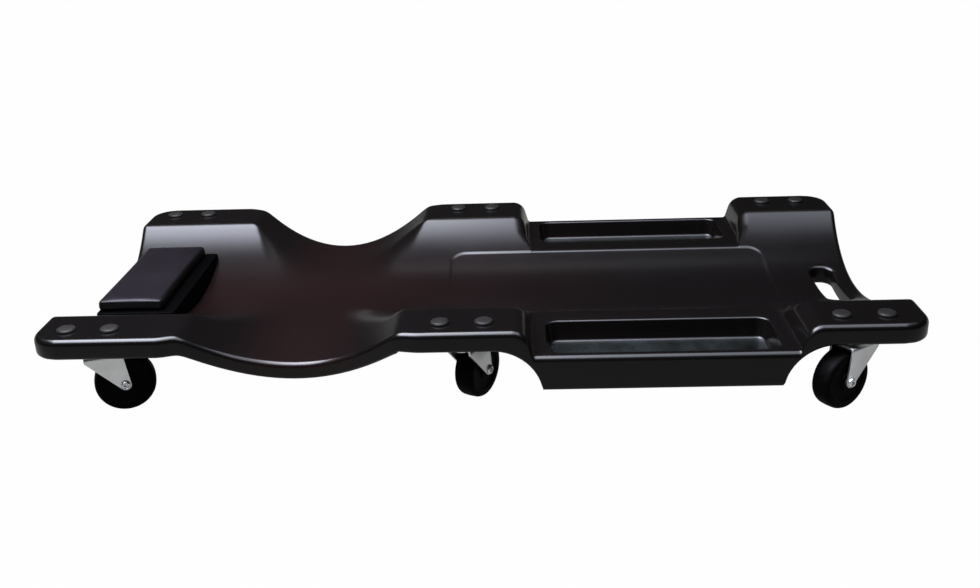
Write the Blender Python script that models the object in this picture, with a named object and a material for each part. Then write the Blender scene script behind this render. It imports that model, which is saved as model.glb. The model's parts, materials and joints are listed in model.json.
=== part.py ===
"""Mechanic's creeper: a dished moulded deck on six swivel casters, with a padded headrest.

Metres, +Z up. The origin is on the floor under the middle of the deck. The head end is at -X and
the foot end at +X. Left is +Y, the left hand of a person lying face up.
"""

import math

import bmesh
import bpy
from mathutils import Matrix, Vector

# Clearances
SEAT_GAP = 0.0003
RUNNING_GAP = 0.0005
HOLE_GAP = 0.0004
POCKET_GAP = 0.001

# Wheels and their axles
WHEEL_DIAMETER = 0.0635
WHEEL_WIDTH = 0.022
TREAD_WIDTH = 0.015
TREAD_SHOULDER = 0.0025
RIM_WIDTH = 0.007
WEB_WIDTH = 0.015
HUB_DIAMETER = 0.020
HUB_PROUD = 0.0006
BUSHING_DIAMETER = 0.011
AXLE_DIAMETER = 0.0074
AXLE_HEAD_DIAMETER = 0.012
AXLE_HEAD_HEIGHT = 0.0024

# Forks, bearings, kingpins and top plates
FORK_GAUGE = 0.0025
FORK_REACH_FRONT = 0.010
FORK_REACH_REAR = 0.030
FORK_FOOT_RADIUS = 0.007
FORK_SKIRT = 0.004
TRAIL = 0.028
CROWN_CLEARANCE = 0.003
RACE_HEIGHT = 0.0042
RACE_OUTER_DIAMETER = 0.032
RACE_INNER_DIAMETER = 0.018
KINGPIN_DIAMETER = 0.009
KINGPIN_HEAD_DIAMETER = 0.015
KINGPIN_HEAD_HEIGHT = 0.0026
PLATE_GAUGE = 0.0025
PLATE_LENGTH = 0.066
PLATE_WIDTH = 0.040
PLATE_CORNER = 0.010
COLLAR_DIAMETER = 0.010
COLLAR_HEIGHT = 0.003
BOLT_SPACING = 0.045
BOLT_DIAMETER = 0.006
BOLT_HEAD_DIAMETER = 0.020
BOLT_HEAD_HEIGHT = 0.0034

# Deck
DECK_LENGTH = 0.914
DECK_WIDTH = 0.442
EAR_THICKNESS = 0.018
EAR_LIP = 0.0045
EDGE_RADIUS = 0.005
CORNER_RADIUS = 0.030
END_SCOOP = 0.009
BED_DROP = 0.0475
BED_THICKNESS = 0.016
SIDE_SKIRT = 0.003
EAR_FLAT = 0.067
HEAD_SWIVEL_INSET = 0.056
FOOT_SWIVEL_INSET = 0.064
SWIVEL_SIDE_INSET = 0.028
MID_SWIVEL_X = -0.014
SCALLOP_HEAD_REACH = 0.097
SCALLOP_MID_REACH = 0.064
SCALLOP_DROP = 0.0455
SCALLOP_INSET = 0.033
SCALLOP_EDGE = 0.0195
SCALLOP_LEAD_HEAD = 0.006
SCALLOP_LEAD_MID = 0.003
SCALLOP_LEAD_RUN = 0.022
MID_EAR_REACH = 0.051
FOOT_EAR_REACH = 0.0455
TRAY_STEP_RUN = 0.024
TRAY_RIM_DROP = 0.028
TRAY_RIM = 0.012
TRAY_WIDTH = 0.079
TRAY_DEPTH = 0.0225
TRAY_CORNER = 0.014
TRAY_DRAFT = 0.003
ARCH_RADIUS = 0.052
ARCH_REACH = 0.030
HAND_SLOT_WIDTH = 0.026
HAND_SLOT_LENGTH = 0.104
HAND_SLOT_BAR = 0.020
HAND_SLOT_CORNER = 0.0115

# Headrest
HEADREST_END_INSET = 0.025
BASE_LENGTH = 0.089
BASE_WIDTH = 0.194
BASE_RISE = 0.0252
CUSHION_LENGTH = 0.0745
CUSHION_WIDTH = 0.184
CUSHION_EDGE = 0.012
CUSHION_CROWN = 0.003
CUSHION_BULGE = 0.0012
CUSHION_PULL = 0.0015
CUSHION_SETBACK = 0.001
SCREW_SPACING = 0.045
SCREW_DIAMETER = 0.004
SCREW_HEAD_DIAMETER = 0.009
SCREW_HEAD_HEIGHT = 0.0025
SCREW_GRIP = 0.014

# Rest directions in which the wheels trail, in degrees from +X, on the right-hand side
REST_YAW = {"head": 20.0, "mid": 62.0, "foot": 214.0}

# Facets of the round pieces
WHEEL_SIDES = 24
PIN_SIDES = 12
BOLT_SIDES = 10
ARC_STEPS = 4
SCALLOP_STEPS = 12
LINE_STEP = 0.040
CREASE_LIMIT = 0.94
SHARP_ANGLE = math.radians(35)

# Heights that the caster stack gives, from the floor up
WHEEL_RADIUS = WHEEL_DIAMETER / 2
AXLE_HEIGHT = WHEEL_RADIUS * math.cos(math.pi / WHEEL_SIDES)
CROWN_BOTTOM = AXLE_HEIGHT + WHEEL_RADIUS + CROWN_CLEARANCE
CROWN_TOP = CROWN_BOTTOM + FORK_GAUGE
PLATE_BOTTOM = CROWN_TOP + RACE_HEIGHT
PLATE_TOP = PLATE_BOTTOM + PLATE_GAUGE
EAR_SEAT = PLATE_TOP + SEAT_GAP
EAR_TOP = EAR_SEAT + EAR_THICKNESS
EAR_BOTTOM = EAR_SEAT - EAR_LIP
BED_TOP = EAR_TOP - BED_DROP
BED_BOTTOM = BED_TOP - BED_THICKNESS
SIDE_BOTTOM = BED_BOTTOM - SIDE_SKIRT
TRAY_RIM_TOP = EAR_TOP - TRAY_RIM_DROP
TRAY_FLOOR = TRAY_RIM_TOP - TRAY_DEPTH
BASE_TOP = BED_TOP + BASE_RISE

# Widths across the fork
FORK_GAP = WHEEL_WIDTH + 2 * (HUB_PROUD + RUNNING_GAP)
FORK_WIDTH = FORK_GAP + 2 * FORK_GAUGE

# Stations along the deck
HALF_LENGTH = DECK_LENGTH / 2
HALF_WIDTH = DECK_WIDTH / 2
RIDGE_Y = HALF_WIDTH - EAR_FLAT
SWIVEL_X = {
    "head": HEAD_SWIVEL_INSET - HALF_LENGTH,
    "mid": MID_SWIVEL_X,
    "foot": HALF_LENGTH - FOOT_SWIVEL_INSET,
}
SWIVEL_Y = HALF_WIDTH - SWIVEL_SIDE_INSET
SCALLOP_START = SWIVEL_X["head"] + SCALLOP_HEAD_REACH
SCALLOP_END = SWIVEL_X["mid"] - SCALLOP_MID_REACH
EAR_END_MID = SWIVEL_X["mid"] + MID_EAR_REACH
EAR_END_FOOT = SWIVEL_X["foot"] - FOOT_EAR_REACH
TRAY_START = EAR_END_MID + TRAY_STEP_RUN
TRAY_END = EAR_END_FOOT - TRAY_STEP_RUN
ARCH_CENTRE_Z = EAR_BOTTOM - ARCH_RADIUS
ARCH_SPAN = math.sqrt(ARCH_RADIUS**2 - (SIDE_BOTTOM - ARCH_CENTRE_Z) ** 2)
ARCH_MID = SWIVEL_X["mid"] + ARCH_REACH
ARCH_FOOT = SWIVEL_X["foot"] - ARCH_REACH
END_ZONE = (HEAD_SWIVEL_INSET + FOOT_SWIVEL_INSET) / 2 - 2 * EDGE_RADIUS
HEADREST_X = HEADREST_END_INSET - HALF_LENGTH + BASE_LENGTH / 2
SLOT_X = HALF_LENGTH - END_SCOOP - HAND_SLOT_BAR - HAND_SLOT_WIDTH / 2


def smooth(value):
    """An S-shaped ramp from 0 to 1."""
    value = min(max(value, 0.0), 1.0)
    return value * value * (3.0 - 2.0 * value)


def spaced(start, end, count):
    return [start + (end - start) * index / count for index in range(count + 1)]


# Deck surfaces, as heights over the plan


def scallop_share(x):
    """1 at the middle of the arm cut-out, 0 at its ends and beyond."""
    reach = (2 * x - SCALLOP_START - SCALLOP_END) / (SCALLOP_END - SCALLOP_START)
    return max(0.0, 1.0 - reach * reach)


def tray_share(x):
    """1 along the tool trays, 0 on the ears."""
    return smooth((x - EAR_END_MID) / TRAY_STEP_RUN) * smooth((EAR_END_FOOT - x) / TRAY_STEP_RUN)


def edge_y(x):
    """Half width of the deck, which starts to narrow shortly before an arm cut-out."""
    lead = SCALLOP_LEAD_HEAD if 2 * x < SCALLOP_START + SCALLOP_END else SCALLOP_LEAD_MID
    outside = max(SCALLOP_START - x, x - SCALLOP_END, 0.0)
    share = scallop_share(x)
    return HALF_WIDTH - SCALLOP_INSET * share - lead * (1 - share) * smooth(1 - outside / SCALLOP_LEAD_RUN)


def side_top(x):
    """Height of the ears and of the arm cut-outs."""
    return EAR_TOP - SCALLOP_DROP * scallop_share(x)


def arch_height(distance):
    """Underside of the side wall, that far past the crown of the wheel arch."""
    if distance >= ARCH_SPAN:
        return SIDE_BOTTOM
    return ARCH_CENTRE_Z + math.sqrt(ARCH_RADIUS**2 - max(distance, 0.0) ** 2)


def edge_bottom(x):
    if x > SCALLOP_END:
        return arch_height(min(x - ARCH_MID, ARCH_FOOT - x))
    scallop_bottom = EAR_TOP - SCALLOP_DROP - SCALLOP_EDGE
    return EAR_BOTTOM - (EAR_BOTTOM - scallop_bottom) * scallop_share(x)


def dish(y):
    """0 along the middle of the bed, rising to 1 at the ridge, where the flat ears start."""
    return min(abs(y) / RIDGE_Y, 1.0) ** 2


def top_z(x, y):
    """The dished bed and the ears, cut down by the arm cut-outs and to a flat land along the tool trays."""
    height = min(BED_TOP + BED_DROP * dish(y), side_top(x))
    return height - max(height - TRAY_RIM_TOP, 0.0) * tray_share(x)


def bottom_z(x, y):
    return BED_BOTTOM + (edge_bottom(x) - BED_BOTTOM) * dish(y)


def crease_share(x):
    """Share of the way to the ridge at which the dish meets an arm cut-out or the land of a tray."""
    cut = math.sqrt(max(0.0, 1 - SCALLOP_DROP / BED_DROP * scallop_share(x)))
    land = math.sqrt(max(0.0, 1 - TRAY_RIM_DROP / BED_DROP))
    past = smooth((x - SCALLOP_END) / (EAR_END_MID - SCALLOP_END))
    return min(cut, CREASE_LIMIT + (land - CREASE_LIMIT) * past)


def end_x(y):
    """Half length of the deck at y, measured to the start of the edge rounding."""
    scoop = END_SCOOP * max(0.0, 1.0 - (y / RIDGE_Y) ** 2)
    radius = CORNER_RADIUS - EDGE_RADIUS
    over = min(max(abs(y) - (HALF_WIDTH - CORNER_RADIUS), 0.0), radius)
    return HALF_LENGTH - EDGE_RADIUS - scoop - (radius - math.sqrt(radius**2 - over**2))


# Mesh tools


def mesh_of(bm, name):
    bmesh.ops.remove_doubles(bm, verts=bm.verts, dist=1e-6)
    bmesh.ops.recalc_face_normals(bm, faces=bm.faces)
    mesh = bpy.data.meshes.new(name)
    bm.to_mesh(mesh)
    bm.free()
    mesh.shade_smooth()
    mesh.set_sharp_from_angle(angle=SHARP_ANGLE)
    return mesh


def turned(name, profile, sides, bored=False):
    """A turned solid on Z. Each point of the profile is a radius and a height."""
    bm = bmesh.new()
    verts = [bm.verts.new((radius, 0.0, z)) for radius, z in profile]
    edges = [bm.edges.new(pair) for pair in zip(verts, verts[1:])]
    if bored:
        edges.append(bm.edges.new((verts[-1], verts[0])))
    half_step = Matrix.Rotation(math.pi / sides, 3, "Z")
    bmesh.ops.rotate(bm, verts=verts, cent=(0, 0, 0), matrix=half_step)
    bmesh.ops.spin(
        bm,
        geom=verts + edges,
        cent=(0, 0, 0),
        axis=(0, 0, 1),
        angle=2 * math.pi,
        steps=sides,
        use_merge=True,
    )
    return mesh_of(bm, name)


def prism(name, outline, low, high):
    """A flat outline of (x, y) points, extruded from one height to the other."""
    bm = bmesh.new()
    face = bm.faces.new([bm.verts.new((x, y, low)) for x, y in outline])
    raised = bmesh.ops.extrude_face_region(bm, geom=[face])
    verts = [item for item in raised["geom"] if isinstance(item, bmesh.types.BMVert)]
    bmesh.ops.translate(bm, verts=verts, vec=(0, 0, high - low))
    return mesh_of(bm, name)


def arc(centre, radius, start, end, steps=ARC_STEPS):
    """Points round a centre from one angle to the other, in degrees."""
    angles = [math.radians(angle) for angle in spaced(start, end, steps)]
    return [(centre[0] + radius * math.cos(a), centre[1] + radius * math.sin(a)) for a in angles]


def rounded_rectangle(length, width, radius):
    x = length / 2 - radius
    y = width / 2 - radius
    corners = ((x, y, 0), (-x, y, 90), (-x, -y, 180), (x, -y, 270))
    return [point for cx, cy, angle in corners for point in arc((cx, cy), radius, angle, angle + 90)]


def border(grid):
    """The outermost points of a grid, in order round it."""
    along = [row[0] for row in grid]
    across = grid[-1][1:]
    back = [row[-1] for row in reversed(grid[:-1])]
    return along + across + back + grid[0][-2:0:-1]


def moulded(name, top, rings, bottom):
    """A closed skin: a top grid, rings of points down its edge, and a bottom grid."""
    bm = bmesh.new()
    grids = [[[bm.verts.new(point) for point in row] for row in grid] for grid in (top, bottom)]
    for grid in grids:
        for near, far in zip(grid, grid[1:]):
            for quad in zip(near, far, far[1:], near[1:]):
                bm.faces.new(quad)
    loops = [border(grids[0])]
    loops += [[bm.verts.new(point) for point in ring] for ring in rings]
    loops.append(border(grids[1]))
    for upper, lower in zip(loops, loops[1:]):
        for index in range(len(upper)):
            following = (index + 1) % len(upper)
            bm.faces.new((upper[index], lower[index], lower[following], upper[following]))
    bmesh.ops.triangulate(bm, faces=bm.faces)
    return mesh_of(bm, name)


def shaped(mesh, *steps):
    """The mesh after Boolean steps, each an operation and a tool mesh."""
    body = bpy.data.objects.new(mesh.name, mesh)
    tools = [bpy.data.objects.new("tool", tool) for _, tool in steps]
    for item in [body, *tools]:
        bpy.context.scene.collection.objects.link(item)
    for (operation, _), tool in zip(steps, tools):
        modifier = body.modifiers.new(operation, "BOOLEAN")
        modifier.operation = operation
        modifier.object = tool
    graph = bpy.context.evaluated_depsgraph_get()
    result = bpy.data.meshes.new_from_object(body.evaluated_get(graph))
    result.name = mesh.name
    for item in [body, *tools]:
        bpy.data.objects.remove(item)
    return result


def joined(name, placed):
    """One tool mesh from separate meshes, each at its own place."""
    bm = bmesh.new()
    for mesh, place in placed:
        part = mesh.copy()
        part.transform(Matrix.Translation(place))
        bm.from_mesh(part)
    mesh = bpy.data.meshes.new(name)
    bm.to_mesh(mesh)
    bm.free()
    return mesh


def finish(name, colour, roughness, metallic=0.0):
    material = bpy.data.materials.new(name)
    material.use_nodes = True
    shader = material.node_tree.nodes["Principled BSDF"]
    shader.inputs["Base Color"].default_value = (*colour, 1.0)
    shader.inputs["Roughness"].default_value = roughness
    shader.inputs["Metallic"].default_value = metallic
    return material


def place(name, mesh, material, parent=None, location=(0.0, 0.0, 0.0)):
    thing = bpy.data.objects.new(name, mesh)
    thing.parent = parent
    thing.location = location
    if not mesh.materials:
        mesh.materials.append(material)
    bpy.context.scene.collection.objects.link(thing)
    return thing


def pivot(name, location, turn=0.0, parent=None):
    empty = bpy.data.objects.new(name, None)
    empty.parent = parent
    empty.location = location
    empty.rotation_euler.z = turn
    empty.empty_display_size = 0.03
    bpy.context.scene.collection.objects.link(empty)
    return empty


# Pieces


def deck_lines():
    """Stations of the deck grid along X."""
    stops = [EDGE_RADIUS - HALF_LENGTH, END_ZONE - HALF_LENGTH]
    stops += [HALF_LENGTH - END_ZONE, HALF_LENGTH - EDGE_RADIUS]
    stops += spaced(SCALLOP_START - SCALLOP_LEAD_RUN, SCALLOP_START, 3)
    stops += spaced(SCALLOP_START, SCALLOP_END, SCALLOP_STEPS)
    stops += spaced(SCALLOP_END, SCALLOP_END + SCALLOP_LEAD_RUN, 3)
    stops += spaced(EAR_END_MID, TRAY_START, 4) + spaced(TRAY_END, EAR_END_FOOT, 4)
    stops += [ARCH_MID, ARCH_MID + ARCH_SPAN, ARCH_FOOT - ARCH_SPAN, ARCH_FOOT]
    stops.sort()
    lines = [stops[0]]
    for stop in stops[1:]:
        length = stop - lines[-1]
        if length > EDGE_RADIUS / 2:
            lines += spaced(lines[-1], stop, math.ceil(length / LINE_STEP))[1:]
    lines[-1] = stops[-1]
    return lines


def bed_points(x):
    """Places from the middle of the bed to the ridge, for the deck grid."""
    crease = crease_share(x)
    shares = [crease * share for share in (0.0, 0.30, 0.58, 0.82, 1.0)]
    shares += [crease + (1 - crease) * share for share in (0.40, 0.75, 1.0)]
    return [RIDGE_Y * share for share in shares]


def ear_shares():
    """Shares of the way from the ridge to the side edge, for the deck grid."""
    return [0.5, 0.78, 0.94, 1.0]


def deck_row(x):
    """Plan points of one grid line across the deck."""
    half = bed_points(x)
    half += [RIDGE_Y + (edge_y(x) - EDGE_RADIUS - RIDGE_Y) * share for share in ear_shares()]
    row = []
    for y in [-value for value in reversed(half[1:])] + half:
        over = abs(x) - (HALF_LENGTH - END_ZONE)
        along = x
        if over > 0:
            stretch = (end_x(y) - HALF_LENGTH + END_ZONE) / (END_ZONE - EDGE_RADIUS)
            along = math.copysign(HALF_LENGTH - END_ZONE + over * stretch, x)
        row.append((along, y))
    return row


def deck_blank():
    """The deck before its trays, slot and holes are cut."""
    plan = [deck_row(x) for x in deck_lines()]
    top = [[Vector((x, y, top_z(x, y))) for x, y in row] for row in plan]
    bottom = [[Vector((x, y, bottom_z(x, y))) for x, y in row] for row in plan]
    upper = border(top)
    lower = border(bottom)
    count = len(upper)
    outward = []
    for index in range(count):
        tangent = (upper[(index + 1) % count] - upper[index - 1]).xy.normalized()
        outward.append(Vector((tangent.y, -tangent.x, 0.0)))
    rings = []
    for edge, sign, angles in ((upper, -1, (45, 90)), (lower, 1, (90, 45))):
        for angle in map(math.radians, angles):
            out = EDGE_RADIUS * math.sin(angle)
            lift = Vector((0, 0, sign * EDGE_RADIUS * (1 - math.cos(angle))))
            rings.append([point + normal * out + lift for point, normal in zip(edge, outward)])
    return moulded("deck_shell", top, rings, bottom)


def tray_tool():
    """A drafted tray with rounded corners, floor down, to be cut out."""
    bm = bmesh.new()
    length = TRAY_END - TRAY_START - 2 * TRAY_RIM
    loops = []
    for z, inset in ((TRAY_FLOOR, TRAY_DRAFT), (TRAY_RIM_TOP, 0.0), (EAR_TOP, -TRAY_DRAFT)):
        outline = rounded_rectangle(length - 2 * inset, TRAY_WIDTH - 2 * inset, TRAY_CORNER - inset)
        loops.append([bm.verts.new((x, y, z)) for x, y in outline])
    for lower, upper in zip(loops, loops[1:]):
        for index in range(len(lower)):
            following = (index + 1) % len(lower)
            bm.faces.new((lower[index], lower[following], upper[following], upper[index]))
    bm.faces.new(loops[0])
    bm.faces.new(loops[-1])
    return mesh_of(bm, "tray_tool")


def hole_tool(name, diameter, low, high):
    radius = diameter / 2 + HOLE_GAP
    return turned(name, [(0, high), (radius, high), (radius, low), (0, low)], PIN_SIDES)


def deck_mesh():
    tray_x = (TRAY_START + TRAY_END) / 2
    tray_y = HALF_WIDTH - TRAY_RIM - TRAY_WIDTH / 2
    slot_outline = rounded_rectangle(HAND_SLOT_WIDTH, HAND_SLOT_LENGTH, HAND_SLOT_CORNER)
    slot = prism("slot_tool", slot_outline, 0.0, EAR_TOP)
    tray = tray_tool()
    trays = [(tray, (tray_x, tray_y, 0)), (tray, (tray_x, -tray_y, 0))]
    openings = joined("openings", trays + [(slot, (SLOT_X, 0, 0))])
    spare = 2 * POCKET_GAP
    pocket_outline = rounded_rectangle(PLATE_LENGTH + spare, PLATE_WIDTH + spare, PLATE_CORNER + POCKET_GAP)
    pocket = prism("pocket_tool", pocket_outline, CROWN_TOP, EAR_SEAT)
    hole = hole_tool("bolt_hole_tool", BOLT_DIAMETER, CROWN_TOP, EAR_TOP + BOLT_HEAD_HEIGHT)
    screw_hole = hole_tool("screw_hole_tool", SCREW_DIAMETER, 0.0, EAR_TOP)
    swivels = [(x, y, 0) for x in SWIVEL_X.values() for y in (SWIVEL_Y, -SWIVEL_Y)]
    bolts = [(x + shift, y, 0) for x, y, _ in swivels for shift in bolt_shifts()]
    pockets = joined("pockets", [(pocket, spot) for spot in swivels])
    screw_holes = [(screw_hole, spot) for spot in screw_spots()]
    holes = joined("holes", [(hole, spot) for spot in bolts] + screw_holes)
    cuts = [("DIFFERENCE", tool) for tool in (openings, pockets, holes)]
    return shaped(deck_blank(), *cuts)


def bolt_shifts():
    """Places of a caster's two bolts along X, from its swivel axis."""
    return (-BOLT_SPACING / 2, BOLT_SPACING / 2)


def screw_spots():
    return [(HEADREST_X + shift, 0, 0) for shift in (-SCREW_SPACING / 2, SCREW_SPACING / 2)]


def headrest_base_mesh():
    """A plinth with a flat top, whose underside follows the dished bed."""
    half = BASE_WIDTH / 2
    lines = bed_points(HEADREST_X)
    heights = [top_z(HEADREST_X, y) for y in lines]
    inside = [(y, z) for y, z in zip(lines, heights) if y < half]
    count = len(inside)
    share = (half - lines[count - 1]) / (lines[count] - lines[count - 1])
    inside.append((half, heights[count - 1] + share * (heights[count] - heights[count - 1])))
    mirrored = [(-y, z) for y, z in reversed(inside[1:])]
    outline = [(y, z + SEAT_GAP) for y, z in mirrored + inside] + [(half, BASE_TOP), (-half, BASE_TOP)]
    block = prism("headrest_base", outline, -BASE_LENGTH / 2, BASE_LENGTH / 2)
    block.transform(Matrix(((0, 0, 1, HEADREST_X), (1, 0, 0, 0), (0, 1, 0, 0), (0, 0, 0, 1))))
    hole = hole_tool("screw_hole_tool", SCREW_DIAMETER, 0.0, BED_TOP + SCREW_GRIP + RUNNING_GAP)
    return shaped(block, ("DIFFERENCE", joined("screw_holes", [(hole, spot) for spot in screw_spots()])))


def cushion_mesh():
    """A thin pad with a crowned top, a soft edge and sides that draw in between the corners."""
    low = BASE_TOP + SEAT_GAP
    half_x = CUSHION_LENGTH / 2 - CUSHION_BULGE
    half_y = CUSHION_WIDTH / 2 - CUSHION_BULGE
    centre_x = HEADREST_X - (BASE_LENGTH - CUSHION_LENGTH) / 2 + CUSHION_SETBACK

    def spot(u, v, z, out=0.0):
        x = u * (half_x + out - CUSHION_PULL * (1 - v * v))
        y = v * (half_y + out - CUSHION_PULL * (1 - u * u))
        return Vector((centre_x + x, y, z))

    def crown(u, v):
        return CUSHION_CROWN * ((1 - u**4) * (1 - v**6)) ** 0.7

    across = spaced(-1, 1, 6)
    along = spaced(-1, 1, 12)
    top = [[spot(u, v, low + CUSHION_EDGE + crown(u, v)) for v in along] for u in across]
    bottom = [[spot(u, v, low) for v in along] for u in across]
    edge = border([[(u, v) for v in along] for u in across])
    levels = ((0.85, 0.9), (0.5, 1.0), (0.15, 0.9))
    rings = []
    for level, out in levels:
        rings.append([spot(u, v, low + CUSHION_EDGE * level, CUSHION_BULGE * out) for u, v in edge])
    return moulded("headrest_cushion", top, rings, bottom)


def headrest_screw_mesh():
    """A screw driven up through the bed, with its head below. Its origin is under the bed."""
    head = SCREW_HEAD_DIAMETER / 2
    shank = SCREW_DIAMETER / 2
    tip = BED_THICKNESS + SCREW_GRIP
    profile = [(0, tip), (shank, tip - shank), (shank, -SEAT_GAP), (head, -SEAT_GAP)]
    profile += [(head * 0.8, -SCREW_HEAD_HEIGHT), (0, -SCREW_HEAD_HEIGHT)]
    return turned("headrest_screw", profile, BOLT_SIDES)


def plate_mesh():
    """A flat plate, countersunk for the kingpin, with tapped collars for the two bolts."""
    outline = rounded_rectangle(PLATE_LENGTH, PLATE_WIDTH, PLATE_CORNER)
    plate = prism("plate", outline, PLATE_BOTTOM, PLATE_TOP)
    radius = COLLAR_DIAMETER / 2
    low = PLATE_BOTTOM - COLLAR_HEIGHT
    middle = PLATE_BOTTOM + PLATE_GAUGE / 2
    collar = turned("collar", [(0, middle), (radius, middle), (radius, low), (0, low)], PIN_SIDES)
    spots = [(shift, 0, 0) for shift in bolt_shifts()]
    collars = joined("collars", [(collar, spot) for spot in spots])
    hole = hole_tool("bolt_hole", BOLT_DIAMETER, CROWN_TOP, EAR_TOP)
    head = KINGPIN_HEAD_DIAMETER / 2 + HOLE_GAP
    shank = KINGPIN_DIAMETER / 2 + HOLE_GAP
    flare = [(0, EAR_TOP), (head, EAR_TOP), (head, PLATE_TOP), (shank, PLATE_BOTTOM)]
    countersink = turned("countersink", [*flare, (shank, CROWN_TOP), (0, CROWN_TOP)], PIN_SIDES)
    holes = joined("holes", [(hole, spot) for spot in spots] + [(countersink, (0, 0, 0))])
    return shaped(plate, ("UNION", collars), ("DIFFERENCE", holes))


def bearing_mesh():
    """The ball race between the plate and the fork's crown."""
    outer = RACE_OUTER_DIAMETER / 2
    inner = RACE_INNER_DIAMETER / 2
    high = PLATE_BOTTOM - SEAT_GAP
    low = CROWN_TOP + SEAT_GAP
    middle = (high + low) / 2
    waist = (high - low) / 3
    profile = [(inner, high), (outer - waist, high), (outer, middle)]
    profile += [(outer - waist, low), (inner, low)]
    return turned("swivel_bearing", profile, PIN_SIDES, bored=True)


def kingpin_mesh():
    """The riveted pivot: countersunk in the plate, headed over below the crown."""
    head = KINGPIN_HEAD_DIAMETER / 2
    shank = KINGPIN_DIAMETER / 2
    seat = CROWN_BOTTOM - SEAT_GAP
    low = seat - KINGPIN_HEAD_HEIGHT
    profile = [(0, PLATE_TOP), (head, PLATE_TOP), (shank, PLATE_BOTTOM), (shank, seat), (head, seat)]
    profile += [(head * 0.85, low + KINGPIN_HEAD_HEIGHT / 3), (head * 0.5, low), (0, low)]
    return turned("kingpin", profile, PIN_SIDES)


def fork_mesh():
    """A bent sheet yoke. Its origin is on the swivel axis at floor level, and it trails along +X."""
    half = FORK_WIDTH / 2
    gap = FORK_GAP / 2
    foot = (TRAIL, AXLE_HEIGHT)
    low = AXLE_HEIGHT - 2 * FORK_FOOT_RADIUS
    front = -2 * half
    rear = TRAIL + 2 * FORK_FOOT_RADIUS
    channel_outline = [(-half, low), (-gap, low), (-gap, CROWN_BOTTOM), (gap, CROWN_BOTTOM)]
    channel_outline += [(gap, low), (half, low), (half, CROWN_TOP), (-half, CROWN_TOP)]
    channel = prism("fork", channel_outline, front, rear)
    channel.transform(Matrix(((0, 0, 1, 0), (1, 0, 0, 0), (0, 1, 0, 0), (0, 0, 0, 1))))
    side_outline = arc(foot, FORK_FOOT_RADIUS, 215, 365, 2 * ARC_STEPS)
    above = CROWN_TOP + FORK_GAUGE
    below = CROWN_BOTTOM - FORK_SKIRT
    side_outline += [(FORK_REACH_REAR, above), (2 * front, above)]
    side_outline += [(2 * front, below), (-FORK_REACH_FRONT, below)]
    side = prism("side_tool", side_outline, -2 * half, 2 * half)
    side.transform(Matrix(((1, 0, 0, 0), (0, 0, -1, 0), (0, 1, 0, 0), (0, 0, 0, 1))))
    beside = half + SEAT_GAP
    plan_outline = arc((0, 0), beside, 90, 270, 2 * ARC_STEPS) + [(2 * rear, -beside), (2 * rear, beside)]
    plan = prism("plan_tool", plan_outline, 0.0, EAR_TOP)
    pin_hole = hole_tool("kingpin_hole", KINGPIN_DIAMETER, CROWN_BOTTOM - FORK_SKIRT, EAR_TOP)
    axle_hole = hole_tool("axle_hole", AXLE_DIAMETER, -FORK_WIDTH, FORK_WIDTH)
    axle_hole.transform(Matrix.Translation((TRAIL, 0, AXLE_HEIGHT)) @ Matrix.Rotation(math.pi / 2, 4, "X"))
    cuts = [("DIFFERENCE", joined("fork_holes", [(pin_hole, (0, 0, 0)), (axle_hole, (0, 0, 0))]))]
    return shaped(channel, ("INTERSECT", side), ("INTERSECT", plan), *cuts)


def wheel_mesh():
    """A moulded wheel with a dished web and a hub. It turns on its own Z."""
    bore = BUSHING_DIAMETER / 2 + RUNNING_GAP
    hub = HUB_DIAMETER / 2
    side = WHEEL_WIDTH / 2
    rim = WHEEL_RADIUS - TREAD_SHOULDER - RIM_WIDTH
    slope = (side - WEB_WIDTH / 2) / 2
    web = WEB_WIDTH / 2
    half = [(bore, side + HUB_PROUD), (hub, side + HUB_PROUD), (hub + slope, web), (rim - slope, web)]
    half += [(rim, side), (WHEEL_RADIUS - TREAD_SHOULDER, side), (WHEEL_RADIUS, TREAD_WIDTH / 2)]
    profile = half + [(radius, -z) for radius, z in reversed(half)]
    return turned("wheel", profile, WHEEL_SIDES, bored=True)


def bushing_mesh():
    """The sleeve that the wheel runs on, held between the fork's legs."""
    outer = BUSHING_DIAMETER / 2
    inner = AXLE_DIAMETER / 2 + HOLE_GAP
    half = FORK_GAP / 2 - SEAT_GAP
    profile = [(inner, half), (outer, half), (outer, -half), (inner, -half)]
    return turned("bushing", profile, PIN_SIDES, bored=True)


def axle_mesh():
    """The axle rivet, with a head outside each leg of the fork."""
    shank = AXLE_DIAMETER / 2
    head = AXLE_HEAD_DIAMETER / 2
    seat = FORK_WIDTH / 2 + SEAT_GAP
    tip = seat + AXLE_HEAD_HEIGHT
    half = [(0, tip), (head * 0.6, tip), (head, seat + AXLE_HEAD_HEIGHT / 2), (head, seat), (shank, seat)]
    return turned("axle", half + [(radius, -z) for radius, z in reversed(half)], PIN_SIDES)


def bolt_mesh():
    """A low domed bolt through the ear into the plate's collar."""
    head = BOLT_HEAD_DIAMETER / 2
    shank = BOLT_DIAMETER / 2
    seat = EAR_TOP + SEAT_GAP
    tip = PLATE_BOTTOM - COLLAR_HEIGHT
    profile = [(0, seat + BOLT_HEAD_HEIGHT), (head * 0.55, seat + BOLT_HEAD_HEIGHT * 0.85)]
    profile += [(head * 0.9, seat + BOLT_HEAD_HEIGHT * 0.45), (head, seat)]
    profile += [(shank, seat), (shank, tip), (0, tip)]
    return turned("bolt", profile, BOLT_SIDES)


# Assembly


def build_deck(black_plastic, vinyl, base_plastic, zinc):
    place("deck_shell", deck_mesh(), black_plastic)
    place("headrest_base", headrest_base_mesh(), base_plastic)
    place("headrest_cushion", cushion_mesh(), vinyl)
    screw = headrest_screw_mesh()
    for name, (x, y, _) in zip(("headrest_screw_end", "headrest_screw_inner"), screw_spots()):
        place(name, screw, zinc, location=(x, y, BED_BOTTOM))


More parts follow.
